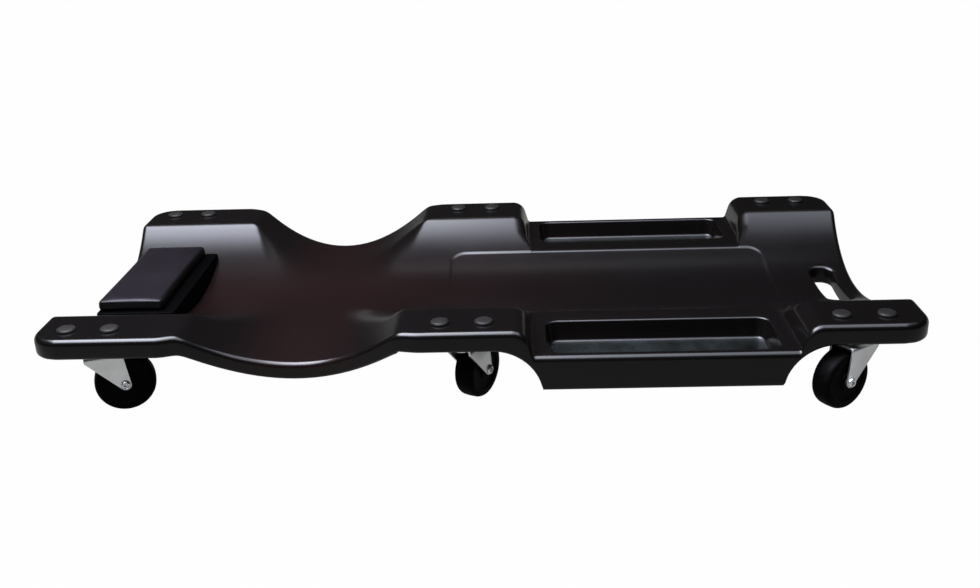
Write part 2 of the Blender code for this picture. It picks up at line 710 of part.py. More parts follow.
def build_casters(zinc, dark_steel, rubber):
    fixed = {"plate": plate_mesh(), "swivel_bearing": bearing_mesh(), "kingpin": kingpin_mesh()}
    turning = {
        "wheel": (wheel_mesh(), rubber),
        "bushing": (bushing_mesh(), zinc),
        "axle": (axle_mesh(), zinc),
    }
    fork = fork_mesh()
    bolt = bolt_mesh()
    for end, x in SWIVEL_X.items():
        for side, sign in (("left", 1), ("right", -1)):
            place_name = f"{end}_{side}"
            mount = pivot(f"{place_name}_mount", (x, sign * SWIVEL_Y, 0.0))
            for piece, mesh in fixed.items():
                place(f"{place_name}_{piece}", mesh, zinc, mount)
            for label, shift in zip(("bolt_head_side", "bolt_foot_side"), bolt_shifts()):
                place(f"{place_name}_{label}", bolt, dark_steel, mount, (shift, 0.0, 0.0))
            swivel = pivot(f"{place_name}_swivel", (0, 0, 0), -sign * math.radians(REST_YAW[end]), mount)
            place(f"{place_name}_fork", fork, zinc, swivel)
            for piece, (mesh, material) in turning.items():
                turner = place(f"{place_name}_{piece}", mesh, material, swivel, (TRAIL, 0.0, AXLE_HEIGHT))
                turner.rotation_euler.x = math.pi / 2


def main():
    for item in list(bpy.data.objects):
        bpy.data.objects.remove(item)
    black_plastic = finish("black moulded plastic", (0.012, 0.011, 0.012), 0.35)
    base_plastic = finish("black headrest base", (0.010, 0.010, 0.011), 0.5)
    vinyl = finish("dark vinyl", (0.040, 0.034, 0.046), 0.45)
    zinc = finish("zinc plated steel", (0.50, 0.50, 0.50), 0.4, 0.9)
    dark_steel = finish("dark bolt steel", (0.05, 0.048, 0.048), 0.4, 0.6)
    rubber = finish("black wheel", (0.010, 0.010, 0.010), 0.5)
    build_deck(black_plastic, vinyl, base_plastic, zinc)
    build_casters(zinc, dark_steel, rubber)


main()
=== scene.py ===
"""Looks of a mechanic's creeper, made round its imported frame.

Metres, +Z up, in the frame's own place: the head end is at -X, the foot end at +X, the floor at Z = 0.
"""

import json
import math

import bmesh
import bpy
from mathutils import Matrix, Vector


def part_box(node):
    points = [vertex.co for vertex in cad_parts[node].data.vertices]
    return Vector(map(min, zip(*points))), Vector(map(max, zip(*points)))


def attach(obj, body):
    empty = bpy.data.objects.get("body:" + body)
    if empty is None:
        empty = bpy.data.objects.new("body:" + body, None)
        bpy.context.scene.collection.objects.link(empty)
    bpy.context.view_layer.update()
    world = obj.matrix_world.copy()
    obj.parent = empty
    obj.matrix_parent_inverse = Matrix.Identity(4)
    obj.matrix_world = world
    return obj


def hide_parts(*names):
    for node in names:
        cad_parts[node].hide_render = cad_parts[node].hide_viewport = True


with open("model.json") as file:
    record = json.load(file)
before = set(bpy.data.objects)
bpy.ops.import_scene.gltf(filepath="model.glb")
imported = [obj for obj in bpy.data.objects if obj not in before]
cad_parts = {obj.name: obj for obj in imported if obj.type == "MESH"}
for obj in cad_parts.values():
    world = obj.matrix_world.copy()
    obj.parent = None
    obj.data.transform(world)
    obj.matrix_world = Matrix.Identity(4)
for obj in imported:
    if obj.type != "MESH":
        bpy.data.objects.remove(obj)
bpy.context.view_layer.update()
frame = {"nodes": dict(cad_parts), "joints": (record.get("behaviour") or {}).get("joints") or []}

# Deck
# The body is one hollow shell of black polyethylene, blow-moulded in a two-part tool, so its edges are
# round and its finish is satin. Six raised ears carry the casters, and the bed hangs between them.

deck_low, deck_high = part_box("deck_shell")
half_length = deck_high.x
half_width = deck_high.y
ear_top = deck_high.z


def joint_places(ending):
    """Where each joint of one kind stands, by the name of its caster."""
    kind = [joint for joint in frame["joints"] if joint["name"].endswith(ending)]
    return {joint["name"].removesuffix(ending): Vector(joint["pos_m"]) for joint in kind}


swivels = joint_places("_swivel_turn")
head_x = swivels["head_left"].x
mid_x = swivels["mid_left"].x
foot_x = swivels["foot_left"].x

SEAT_GAP = 0.0003
EDGE_RADIUS = 0.0065
EDGE_TOP = 0.0075
EDGE_UNDER = 0.005
CORNER_RADIUS = 0.030
END_SCOOP = 0.009
END_ZONE = 0.050
BED_DROP = 0.0475
EAR_FLAT = 0.067
EAR_LIP = 0.0045
RIDGE_ROUND = 0.0035
SIDE_SKIRT = 0.003
ridge = half_width - EAR_FLAT
bed_top = ear_top - BED_DROP
side_bottom = deck_low.z
bed_bottom = side_bottom + SIDE_SKIRT
plate_low, plate_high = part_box("mid_left_plate")
ear_seat = plate_high.z + SEAT_GAP
ear_bottom = ear_seat - EAR_LIP


def smooth(value):
    """An S-shaped ramp from 0 to 1."""
    value = min(max(value, 0.0), 1.0)
    return value * value * (3.0 - 2.0 * value)


# The arm cut-outs are parabolas in plan and in height, eased where they run out on the ears.
SCALLOP_DROP = 0.0455
SCALLOP_INSET = 0.033
SCALLOP_EDGE = 0.0195
SCALLOP_EASE = 0.08
CREASE_EASE = 0.014
SCALLOP_HEAD_REACH = 0.097
SCALLOP_MID_REACH = 0.064
SCALLOP_LEAD_HEAD = 0.006
SCALLOP_LEAD_MID = 0.003
SCALLOP_LEAD_RUN = 0.022
scallop_start = head_x + SCALLOP_HEAD_REACH
scallop_end = mid_x - SCALLOP_MID_REACH


def scallop_share(x):
    """1 at the middle of the arm cut-out, 0 beyond its ends."""
    reach = (2 * x - scallop_start - scallop_end) / (scallop_end - scallop_start)
    rise = 1.0 - reach * reach
    return (rise + math.hypot(rise, SCALLOP_EASE)) / 2


# The tool trays stand in a lower stretch of each side, between the end walls of two ears. Each wall has
# a round shoulder and a small fillet, and runs out where the side slopes down into the bed.
TRAY_RIM_DROP = 0.028
LAND_EASE = 0.003
MID_EAR_REACH = 0.051
FOOT_EAR_REACH = 0.0455
STEP_ROUND = 0.017
STEP_FILLET = 0.004
STEP_STEEP = math.radians(74)
ear_end_mid = mid_x + MID_EAR_REACH
ear_end_foot = foot_x - FOOT_EAR_REACH
step_turns = (STEP_ROUND + STEP_FILLET) * (1 - math.cos(STEP_STEEP))


def step_run(height):
    """How long an ear's end wall of this height is, in plan."""
    turns = min(1.0, height / step_turns) * (STEP_ROUND + STEP_FILLET) * math.sin(STEP_STEEP)
    return turns + max(height - step_turns, 0.0) / math.tan(STEP_STEEP)


wall_run = step_run(TRAY_RIM_DROP)
tray_start = ear_end_mid + wall_run
tray_end = ear_end_foot - wall_run


def step_drop(left, height):
    """How far an ear's end wall of this height has dropped, with this much of its run left."""
    past = step_run(height) - left
    scale = min(1.0, height / step_turns)
    shoulder = scale * STEP_ROUND
    fillet = scale * STEP_FILLET
    if past <= 0:
        return 0.0
    if left <= 0:
        return height
    if past < shoulder * math.sin(STEP_STEEP):
        return shoulder - math.sqrt(shoulder**2 - past**2)
    if left < fillet * math.sin(STEP_STEEP):
        return height - fillet + math.sqrt(fillet**2 - left**2)
    shoulder_drop = shoulder * (1 - math.cos(STEP_STEEP))
    return shoulder_drop + (past - shoulder * math.sin(STEP_STEEP)) * math.tan(STEP_STEEP)


def tray_drop(x, height):
    return min(step_drop(tray_start - x, height), step_drop(x - tray_end, height))


def edge_y(x):
    """Half width of the deck, which starts to narrow shortly before an arm cut-out."""
    lead = SCALLOP_LEAD_HEAD if 2 * x < scallop_start + scallop_end else SCALLOP_LEAD_MID
    outside = max(scallop_start - x, x - scallop_end, 0.0)
    share = scallop_share(x)
    lead *= (1 - share) * smooth(1 - outside / SCALLOP_LEAD_RUN)
    return half_width - SCALLOP_INSET * share - lead


# The middle of the bed is a shallow sunk panel with straight sides.
PANEL_START = -0.043
PANEL_END = 0.352
PANEL_SIDE = 0.0980
PANEL_CORNER = 0.020
PANEL_SINK = 0.0010
PANEL_RUN = 0.0030


def panel_sink(x, y):
    """Depth of the sunk panel: full inside its rounded outline, easing out over its sloped border."""
    over_x = max(PANEL_START - x, x - PANEL_END, -PANEL_CORNER) + PANEL_CORNER
    over_y = max(abs(y) - PANEL_SIDE + PANEL_CORNER, 0.0)
    return PANEL_SINK * smooth((PANEL_CORNER - math.hypot(over_x, over_y)) / PANEL_RUN)


def dish(y):
    """0 along the middle of the bed, rising to 1 at the ridge, where the flat ears start."""
    return min(abs(y) / ridge, 1.0) ** 2


def excess(over, ease):
    """How far something is over its limit, rounded off where it starts."""
    if abs(over) >= ease:
        return max(over, 0.0)
    return (over + ease) ** 2 / (4 * ease)


def top_z(x, y):
    """Height of the upper skin: dish and ears, less the arm cut-outs, the trays' land and the panel."""
    near_ridge = max(0.0, RIDGE_ROUND - abs(abs(y) - ridge))
    height = bed_top + BED_DROP * (dish(y) - near_ridge**2 / (2 * RIDGE_ROUND * ridge))
    share = scallop_share(x)
    height -= excess(height - ear_top + SCALLOP_DROP * share, CREASE_EASE * smooth(3 * share))
    return height - tray_drop(x, excess(height - ear_top + TRAY_RIM_DROP, LAND_EASE)) - panel_sink(x, y)


# Wheel arches are cut into the side walls beside the trays, as arcs of one radius.
ARCH_RADIUS = 0.052
ARCH_REACH = 0.030
arch_mid = mid_x + ARCH_REACH
arch_foot = foot_x - ARCH_REACH
arch_centre = ear_bottom - ARCH_RADIUS
arch_span = math.sqrt(ARCH_RADIUS**2 - (side_bottom - arch_centre) ** 2)


def edge_bottom(x):
    """Height of the lower edge of the side wall."""
    if x < scallop_end:
        low = ear_top - SCALLOP_DROP - SCALLOP_EDGE
        return ear_bottom - (ear_bottom - low) * scallop_share(x)
    past = max(min(x - arch_mid, arch_foot - x), 0.0)
    if past > arch_span:
        return side_bottom
    return arch_centre + math.sqrt(ARCH_RADIUS**2 - past**2)


def bottom_z(x, y):
    """Height of the deck's lower skin."""
    return bed_bottom + (edge_bottom(x) - bed_bottom) * dish(y)


def end_x(y):
    """Half length of the deck inside its edge rounding, with its scoop and its round corners."""
    scoop = END_SCOOP * max(0.0, 1.0 - (y / ridge) ** 2)
    radius = CORNER_RADIUS - EDGE_RADIUS
    over = min(max(abs(y) - (half_width - CORNER_RADIUS), 0.0), radius)
    return half_length - EDGE_RADIUS - scoop - (radius - math.sqrt(radius**2 - over**2))


# Openings in the skin: two drafted trays, a hand slot, and a seat under each ear for a caster plate.
TRAY_RIM = 0.012
TRAY_WIDTH = 0.079
TRAY_DEPTH = 0.0225
TRAY_CORNER = 0.014
TRAY_DRAFT = 0.003
TRAY_LIP = 0.0026
TRAY_FILLET = 0.004
SLOT_WIDTH = 0.026
SLOT_LENGTH = 0.104
SLOT_CORNER = 0.0115
SLOT_BAR = 0.020
SLOT_ROUND = 0.005
SLOT_SKIRT = 0.006
POCKET_GAP = 0.001
POCKET_CORNER = 0.011
POCKET_LIP = 0.0006
tray_x = (tray_start + tray_end) / 2
tray_y = half_width - TRAY_RIM - TRAY_WIDTH / 2
tray_half = Vector(((tray_end - tray_start) / 2 - TRAY_RIM, TRAY_WIDTH / 2))
tray_floor = ear_top - TRAY_RIM_DROP - TRAY_DEPTH
slot_half = Vector((SLOT_WIDTH / 2, SLOT_LENGTH / 2))
slot_x = half_length - END_SCOOP - SLOT_BAR - slot_half.x
pocket_half = (plate_high - plate_low).xy / 2 + Vector((POCKET_GAP, POCKET_GAP))

# The skin is a grid of lines along and across the deck, closer together where the shape turns sharply.
LINE_GROWTH = 0.22
COARSE_PITCH = 0.010
TURN_PITCH = 0.002
PANEL_PITCH = 0.0012
WALL_PITCH = 0.0008
TRAY_PITCH = 0.0016
SLOT_PITCH = 0.0026
BED_LIMIT = 0.122
CREASE_LIMIT = 0.94


def graded(start, end, coarse, spots):
    """Lines from start to end, finer near each spot: a place, how far it reaches and its pitch."""
    lines = [start]
    while lines[-1] < end:
        here = lines[-1]
        pitches = [fine + LINE_GROWTH * max(0.0, abs(here - at) - reach) for at, reach, fine in spots]
        lines.append(here + min([coarse, *pitches]))
    stretch = (end - start) / (lines[-1] - start)
    return [start + (line - start) * stretch for line in lines]


along = graded(
    EDGE_RADIUS - half_length,
    half_length - EDGE_RADIUS,
    COARSE_PITCH,
    [
        (EDGE_RADIUS - half_length, 0.004, TURN_PITCH),
        (scallop_start, 0.006, TURN_PITCH),
        (scallop_end, 0.006, TURN_PITCH),
        (PANEL_START, 0.012, PANEL_PITCH),
        (ear_end_mid + wall_run / 2, wall_run / 2, WALL_PITCH),
        (tray_start + TRAY_RIM, 0.014, TRAY_PITCH),
        (tray_end - TRAY_RIM, 0.014, TRAY_PITCH),
        (ear_end_foot - wall_run / 2, wall_run / 2, WALL_PITCH),
        (PANEL_END, 0.012, PANEL_PITCH),
        (slot_x, SLOT_WIDTH, SLOT_PITCH),
        (half_length - EDGE_RADIUS, 0.004, TURN_PITCH),
    ],
)
bed_spots = [(SLOT_LENGTH / 2, 0.014, SLOT_PITCH), (PANEL_SIDE, 0.004, 0.001)]
bed_rows = graded(0.0, BED_LIMIT, coarse=0.009, spots=bed_spots)
slope_rows = graded(0.0, 1.0, coarse=0.12, spots=[(1.0, 0.16, 0.04)])[1:]
ear_spots = [(0.0, 0.08, 0.025), (0.86, 0.14, 0.03)]
ear_rows = graded(0.0, 1.0, coarse=0.10, spots=ear_spots)[1:]


def across(x):
    """Distances from the middle line of one grid line across the deck."""
    rise = max(0.0, 1.0 - SCALLOP_DROP / BED_DROP * scallop_share(x))
    limit = ridge * min(math.sqrt(rise), CREASE_LIMIT)
    limit += (BED_LIMIT - limit) * smooth((x - scallop_end) / (PANEL_START - scallop_end))
    half = [limit * row / BED_LIMIT for row in bed_rows]
    half += [limit + (ridge - limit) * share for share in slope_rows]
    half += [ridge + (edge_y(x) - EDGE_RADIUS - ridge) * share for share in ear_rows]
    return [-y for y in reversed(half[1:])] + half


def plan_x(x, y):
    """Where a grid line along x lies at y: near the deck's ends it is stretched to meet them."""
    over = abs(x) - (half_length - END_ZONE)
    if over > 0:
        stretch = (end_x(y) - half_length + END_ZONE) / (END_ZONE - EDGE_RADIUS)
        x = math.copysign(half_length - END_ZONE + over * stretch, x)
    return x


plan = [[Vector((plan_x(x, y), y)) for y in across(x)] for x in along]
points = []
faces = []


def add_points(new, store=points):
    """Adds points to a shape in the making, and gives their numbers."""
    store.extend(new)
    return list(range(len(store) - len(new), len(store)))


def border(grid):
    """The outermost entries of a grid, in order round it."""
    back = [row[-1] for row in reversed(grid[:-1])]
    return [row[0] for row in grid] + grid[-1][1:] + back + grid[0][-2:0:-1]


def bridge(loops):
    """Faces between each loop of points and the next. A loop may be one point, many times over."""
    strips = []
    for start, end in zip(loops, loops[1:]):
        for index, point in enumerate(start):
            corners = (start[index - 1], point, end[index], end[index - 1])
            strips.append(tuple(dict.fromkeys(corners)))
    return strips


def block_of(low, high):
    """Index ranges of the grid lines just outside a box in plan."""
    middle = (low + high) / 2
    near = min(plan, key=lambda row: abs(row[len(row) // 2].x - middle.x))
    line = [point.y for point in near]
    left = max([0] + [index for index, y in enumerate(line) if y <= low.y])
    right = min([len(line) - 1] + [index for index, y in enumerate(line) if y >= high.y])
    column = [row[(left + right) // 2].x for row in plan]
    first = max(index for index, x in enumerate(column) if x <= low.x)
    last = min(index for index, x in enumerate(column) if x >= high.x)
    return first, last, left, right


def cut(grid, block):
    first, last, left, right = block
    return [row[left : right + 1] for row in grid[first : last + 1]]


def onto_outline(loop, centre, half_x, half_y, corner):
    """For each point of a loop, the nearest point on a rounded rectangle and the way out from it."""
    feet = []
    for index in loop:
        away = Vector(points[index]).xy - centre
        core_x = min(max(away.x, corner - half_x), half_x - corner)
        core_y = min(max(away.y, corner - half_y), half_y - corner)
        out = (away - Vector((core_x, core_y))).normalized()
        feet.append((centre + Vector((core_x, core_y)) + corner * out, out))
    return feet


LIP_TURNS = (0, 18, 36, 54, 72, 90)


def lip_rings(feet, radius, height, sign):
    """Rings that round a skin over into an opening, downwards for -1 and upwards for 1."""
    rings = []
    for turn in map(math.radians, LIP_TURNS):
        ring = []
        for foot, out in feet:
            start = foot + radius * out
            spot = foot + radius * (1 - math.sin(turn)) * out
            ring.append((*spot, height(*start) + sign * radius * (1 - math.cos(turn))))
        rings.append(add_points(ring))
    return rings


def flat_ring(feet, inset, z):
    return add_points([(*(foot - inset * out), z) for foot, out in feet])


def opening(grid, centre, half, spare, corner):
    """The block of a grid that an opening takes, the loop round it, and its feet on the outline."""
    block = block_of(centre - half - spare, centre + half + spare)
    loop = border(cut(grid, block))
    return block, loop, onto_outline(loop, centre, *half, corner)


def slot_bottom(x, y):
    """The lower skin beside the hand slot, where a rim hangs down for the fingers."""
    return bottom_z(x, y) - SLOT_SKIRT


upper = [add_points([(p.x, p.y, top_z(p.x, p.y)) for p in row]) for row in plan]
lower = [add_points([(p.x, p.y, bottom_z(p.x, p.y)) for p in row]) for row in plan]
MARGIN = 0.007
FILLET_TURNS = (0, 22, 45, 67, 90)
open_above = []
open_below = []
for sign in (1, -1):
    centre = Vector((tray_x, sign * tray_y))
    spare = Vector((MARGIN, MARGIN + TRAY_RIM))
    block, loop, feet = opening(upper, centre, tray_half, spare, TRAY_CORNER)
    open_above.append(block)
    loops = [loop, *lip_rings(feet, TRAY_LIP, top_z, -1)]
    for turn in map(math.radians, FILLET_TURNS):
        inset = TRAY_DRAFT + TRAY_FILLET * (1 - math.cos(turn))
        loops.append(flat_ring(feet, inset, tray_floor + TRAY_FILLET * (1 - math.sin(turn))))
    loops.append(flat_ring(feet, TRAY_DRAFT + TRAY_FILLET + TRAY_LIP, tray_floor))
    faces += [*bridge(loops), tuple(loops[-1])]
spare = Vector((MARGIN, MARGIN + SLOT_ROUND / 2))
block, loop, feet = opening(upper, Vector((slot_x, 0.0)), slot_half, spare, SLOT_CORNER)
open_above.append(block)
open_below.append(block)
under = reversed(lip_rings(feet, SLOT_ROUND, slot_bottom, 1))
over = lip_rings(feet, SLOT_ROUND, top_z, -1)
faces += bridge([loop, *over, *under, border(cut(lower, block))])
for place in swivels.values():
    spare = Vector((MARGIN, MARGIN))
    block, loop, feet = opening(lower, place.xy, pocket_half, spare, POCKET_CORNER)
    open_below.append(block)
    loops = [loop, *lip_rings(feet, POCKET_LIP, bottom_z, 1), flat_ring(feet, 0.0, ear_seat)]
    loops.append(flat_ring(feet, POCKET_LIP, ear_seat))
    faces += [*bridge(loops), tuple(loops[-1])]
for grid, blocks in ((upper, open_above), (lower, open_below)):
    for i in range(len(along) - 1):
        for j in range(len(plan[0]) - 1):
            if any(b[0] <= i < b[1] and b[2] <= j < b[3] for b in blocks):
                continue
            faces.append((grid[i][j], grid[i + 1][j], grid[i + 1][j + 1], grid[i][j + 1]))

rim = [Vector(points[index]) for index in border(upper)]
outward = []
for index, point in enumerate(rim):
    tangent = (rim[(index + 1) % len(rim)] - rim[index - 1]).xy.normalized()
    outward.append(Vector((tangent.y, -tangent.x, 0.0)))
loops = [border(upper)]
TOP_TURNS = (11, 22, 33, 45, 56, 67, 78, 90)
UNDER_TURNS = (90, 67, 45, 22)
for grid, rounding, angles in ((upper, -EDGE_TOP, TOP_TURNS), (lower, EDGE_UNDER, UNDER_TURNS)):
    edge = [Vector(points[index]) for index in border(grid)]
    for turn in map(math.radians, angles):
        lift = Vector((0, 0, rounding * (1 - math.cos(turn))))
        ring = [p + EDGE_RADIUS * math.sin(turn) * out + lift for p, out in zip(edge, outward)]
        loops.append(add_points([tuple(point) for point in ring]))
faces += bridge([*loops, border(lower)])


def placed(name, data):
    """A new object in the scene."""
    thing = bpy.data.objects.new(name, data)
    bpy.context.scene.collection.objects.link(thing)
    return thing


def piece_of(name, mesh, material, slot, body, *nodes, place=None):
    """A named piece, in its place, that rides on a body and stands for nodes of the frame."""
    piece = placed(name, mesh)
    if place:
        piece.matrix_world = place
    if not mesh.materials:
        mesh.materials.append(material)
    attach(piece, body)
    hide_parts(*nodes)
    return piece


def plain_mesh(name, points, faces):
    mesh = bpy.data.meshes.new(name)
    mesh.from_pydata(points, [], faces)
    return mesh


def shaded(mesh, sharp):
    """Smooth shading, apart from edges that turn by more than an angle."""
    mesh.shade_smooth()
    mesh.set_sharp_from_angle(angle=math.radians(sharp))
    return mesh


def skin_mesh(name, points, faces):
    """A smooth-shaded mesh from points and faces, with all its faces turned outwards."""
    mesh = plain_mesh(name, points, faces)
    bm = bmesh.new()
    bm.from_mesh(mesh)
    bmesh.ops.recalc_face_normals(bm, faces=bm.faces)
    bm.to_mesh(mesh)
    bm.free()
    return shaded(mesh, sharp=40)


def link(tree, start, output, end, socket):
    """Joins a node's output to another node's input."""
    tree.links.new(start.outputs[output], end.inputs[socket])


def set_inputs(node, inputs):
    """Puts plain values on a node's inputs. An underscore in a name stands for a space."""
    for name, value in inputs.items():
        node.inputs[name.replace("_", " ")].default_value = value


def added(tree, kind, **inputs):
    node = tree.nodes.new(kind)
    set_inputs(node, inputs)
    return node


def add_sockets(group, way, kind, *names):
    for name in names:
        group.interface.new_socket(name, in_out=way, socket_type=f"NodeSocket{kind}")


def skin_group(name, grain_scale, **patch_look):
    """A material's skin: a fine grain as its height, and patches that spread its roughness."""
    group = bpy.data.node_groups.new(name, "ShaderNodeTree")
    add_sockets(group, "INPUT", "Float", "Patch Scale", "Gloss", "Matt")
    add_sockets(group, "OUTPUT", "Float", "Roughness", "Height")
    source = group.nodes.new("NodeGroupInput")
    result = group.nodes.new("NodeGroupOutput")
    place = group.nodes.new("ShaderNodeTexCoord")
    stretch = added(group, "ShaderNodeMapping", Scale=grain_scale)
    grain = added(group, "ShaderNodeTexNoise", Scale=1.0, Detail=2.0)
    patches = added(group, "ShaderNodeTexNoise", **patch_look)
    spread = added(group, "ShaderNodeMapRange", From_Min=0.3, From_Max=0.7)
    link(group, place, "Object", stretch, "Vector")
    link(group, stretch, "Vector", grain, "Vector")
    link(group, grain, "Fac", result, "Height")
    link(group, place, "Object", patches, "Vector")
    link(group, source, "Patch Scale", patches, "Scale")
    link(group, patches, "Fac", spread, "Value")
    link(group, source, "Gloss", spread, "To Min")
    link(group, source, "Matt", spread, "To Max")
    link(group, spread, "Result", result, "Roughness")
    return group, source, result, patches


# The skin that a mould leaves is a fine pebble, with patches that the tool polished more or less.
PEBBLE = (900.0, 900.0, 900.0)
moulded_skin = skin_group("moulded_skin", PEBBLE, Detail=4.0, Roughness=0.55)[0]


def finish_of(name, **inputs):
    """A material with plain values on its Principled shader, and that shader."""
    material = bpy.data.materials.new(name)
    material.use_nodes = True
    shader = material.node_tree.nodes["Principled BSDF"]
    set_inputs(shader, inputs)
    return material, shader


def wear_skin(material, shader, group, depth, **inputs):
    """Puts a skin group into a material: its roughness, and its height as a bump of that depth."""
    tree = material.node_tree
    skin = tree.nodes.new("ShaderNodeGroup")
    skin.node_tree = group
    set_inputs(skin, inputs)
    bump = added(tree, "ShaderNodeBump", Strength=1.0, Distance=depth)
    link(tree, skin, "Roughness", shader, "Roughness")
    link(tree, skin, "Height", bump, "Height")
    link(tree, bump, "Normal", shader, "Normal")
    return skin


def mottle(material, shader, low, high, scale):
    """Lets the base colour drift between two near shades."""
    tree = material.node_tree
    place = tree.nodes.new("ShaderNodeTexCoord")
    noise = added(tree, "ShaderNodeTexNoise", Scale=scale, Detail=3.0)
    shades = tree.nodes.new("ShaderNodeValToRGB")
    for element, position, shade in zip(shades.color_ramp.elements, (0.35, 0.65), (low, high)):
        element.position = position
        element.color = (*shade, 1.0)
    link(tree, place, "Object", noise, "Vector")
    link(tree, noise, "Fac", shades, "Fac")
    link(tree, shades, "Color", shader, "Base Color")


def colour_mix(tree, **colours):
    mix = tree.nodes.new("ShaderNodeMix")
    mix.data_type = "RGBA"
    for key, colour in colours.items():
        mix.inputs[key].default_value = (*colour, 1.0)
    return mix


def math_of(tree, operation, *terms):
    """The output of a math node. A term is another node's output, or a plain number."""
    node = tree.nodes.new("ShaderNodeMath")
    node.operation = operation
    for term, socket in zip(terms, node.inputs):
        if isinstance(term, float):
            socket.default_value = term
        else:
            tree.links.new(term, socket)
    return node.outputs["Value"]


def painted_light_and_wear_patch(material, shader, colour, limits, sheen_and_scuff_scale=None):
    """Mixes a colour in within limits, here for painted light and for wear: each is a coordinate, where
    it starts and where it is full.
    """
    tree = material.node_tree
    before = shader.inputs["Base Color"].links[0].from_socket
    place = tree.nodes.new("ShaderNodeTexCoord")
    shares = []
    for kind, axis, start, full in limits:
        split = tree.nodes.new("ShaderNodeSeparateXYZ")
        share = added(tree, "ShaderNodeMapRange", From_Min=start, From_Max=full)
        link(tree, place, kind, split, "Vector")
        link(tree, split, axis, share, "Value")
        shares.append(share)
    if sheen_and_scuff_scale:
        scuffs = added(tree, "ShaderNodeTexNoise", Scale=sheen_and_scuff_scale, Detail=6.0, Roughness=0.6)
        share = added(tree, "ShaderNodeMapRange", From_Min=0.30, From_Max=0.62)
        link(tree, place, "Object", scuffs, "Vector")
        link(tree, scuffs, "Fac", share, "Value")
        shares.append(share)
    mask = shares[0].outputs["Result"]
    for share in shares[1:]:
        mask = math_of(tree, "MULTIPLY", mask, share.outputs["Result"])
    light_and_wear_mix = colour_mix(tree, B=colour)
    tree.links.new(mask, light_and_wear_mix.inputs["Factor"])
    tree.links.new(before, light_and_wear_mix.inputs["A"])
    link(tree, light_and_wear_mix, "Result", shader, "Base Color")


deck_plastic, deck_shader = finish_of("black_polyethylene", Specular_IOR_Level=0.25)
deck_look = {"Gloss": 0.20, "Matt": 0.23, "Patch_Scale": 9.0}
wear_skin(deck_plastic, deck_shader, moulded_skin, depth=0.00002, **deck_look)
mottle(deck_plastic, deck_shader, (0.0066, 0.0055, 0.0060), (0.0080, 0.0066, 0.0072), scale=3.0)
# Painted light: the bed is painted lighter and warmer towards its head end, where the warm light falls.
PAINTED_WARM_LIGHT = (0.0165, 0.0080, 0.0086)
PAINTED_WARM_LIGHT_LIMITS = (("Object", "X", 0.20, -0.14), ("Object", "Z", 0.068, 0.046))
# The tray floors are painted lighter and bluish: partly scuffs, partly a painted reflection, laid on in
# noisy patches.
PAINTED_SHEEN_AND_SCUFFS = (0.030, 0.040, 0.045)
PAINTED_SHEEN_AND_SCUFFS_LIMITS = (
    ("Object", "X", 0.03, 0.05),
    ("Object", "Z", tray_floor + 0.0015, tray_floor + 0.0006),
    ("Normal", "Z", 0.6, 0.9),
)
painted_light_and_wear_patch(deck_plastic, deck_shader, PAINTED_WARM_LIGHT, PAINTED_WARM_LIGHT_LIMITS)
painted_light_and_wear_patch(deck_plastic, deck_shader, PAINTED_SHEEN_AND_SCUFFS, PAINTED_SHEEN_AND_SCUFFS_LIMITS, sheen_and_scuff_scale=26.0)
deck_mesh = skin_mesh("deck_moulding", points, faces)
piece_of("deck_moulding", deck_mesh, deck_plastic, "deck_plastic", "deck", "deck_shell")

# Headrest base
# A plain plinth of matt black plastic, moulded to sit in the dish of the bed and level the headrest;
# painted shade darkens it further.
# Two screws hold it from below.

base_low, base_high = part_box("headrest_base")
BASE_CORNER = 0.004
BASE_ROUND = 0.0015
BASE_PITCH = 0.005


def rounded_outline(centre, half_x, half_y, corner, pitch, steps=6):
    """Points round a rectangle with round corners, and the way out at each."""
    turns = []
    for sign_x, sign_y, start in ((1, 1, 0), (-1, 1, 90), (-1, -1, 180), (1, -1, 270)):
        middle = centre + Vector((sign_x * (half_x - corner), sign_y * (half_y - corner)))
        for step in range(steps + 1):
            angle = math.radians(start + 90 * step / steps)
            out = Vector((math.cos(angle), math.sin(angle)))
            turns.append((middle + corner * out, out))
    spots = []
    for (start, out), (end, _) in zip(turns, turns[1:] + turns[:1]):
        count = max(1, round((end - start).length / pitch))
        spots += [(start.lerp(end, step / count), out) for step in range(count)]
    return spots


def slab(name, spots, levels):
    """A solid from rings. A level is how far in from the outline and how high, or a height by place."""
    slab_points = []
    rings = []
    for inset, height in levels:
        ring = []
        for spot, out in spots:
            place = spot - inset * out
            ring.append((*place, height(*place) if callable(height) else height))
        rings.append(add_points(ring, slab_points))
    return skin_mesh(name, slab_points, [*bridge(rings), tuple(rings[0]), tuple(rings[-1])])


def arc_levels(radius, top, steps=4):
    """Levels that round a slab's top edge over."""
    turns = [math.radians(90 * step / steps) for step in range(steps + 1)]
    return [(radius * (1 - math.cos(turn)), top - radius * (1 - math.sin(turn))) for turn in turns]


base_half = (base_high - base_low).xy / 2
base_middle = (base_low + base_high).xy / 2
base_spots = rounded_outline(base_middle, *base_half, BASE_CORNER, BASE_PITCH)
base_levels = [(0.0, top_z), *arc_levels(BASE_ROUND, base_high.z), (2 * BASE_ROUND, base_high.z)]
# Painted shade: the plinth's black is painted darker than the plastic itself, for the deep shade under
# the cushion.
BASE_BLACK_AND_PAINTED_SHADE = (0.0006, 0.0006, 0.0007, 1.0)
base_plastic, base_shader = finish_of("matt_base_plastic", Specular_IOR_Level=0.01)
base_shader.inputs["Base Color"].default_value = BASE_BLACK_AND_PAINTED_SHADE
base_look = {"Gloss": 0.45, "Matt": 0.6, "Patch_Scale": 9.0}
wear_skin(base_plastic, base_shader, moulded_skin, depth=0.00004, **base_look)
base_mesh = slab("headrest_plinth", base_spots, base_levels)
piece_of("headrest_plinth", base_mesh, base_plastic, "base_plastic", "deck", "headrest_base")

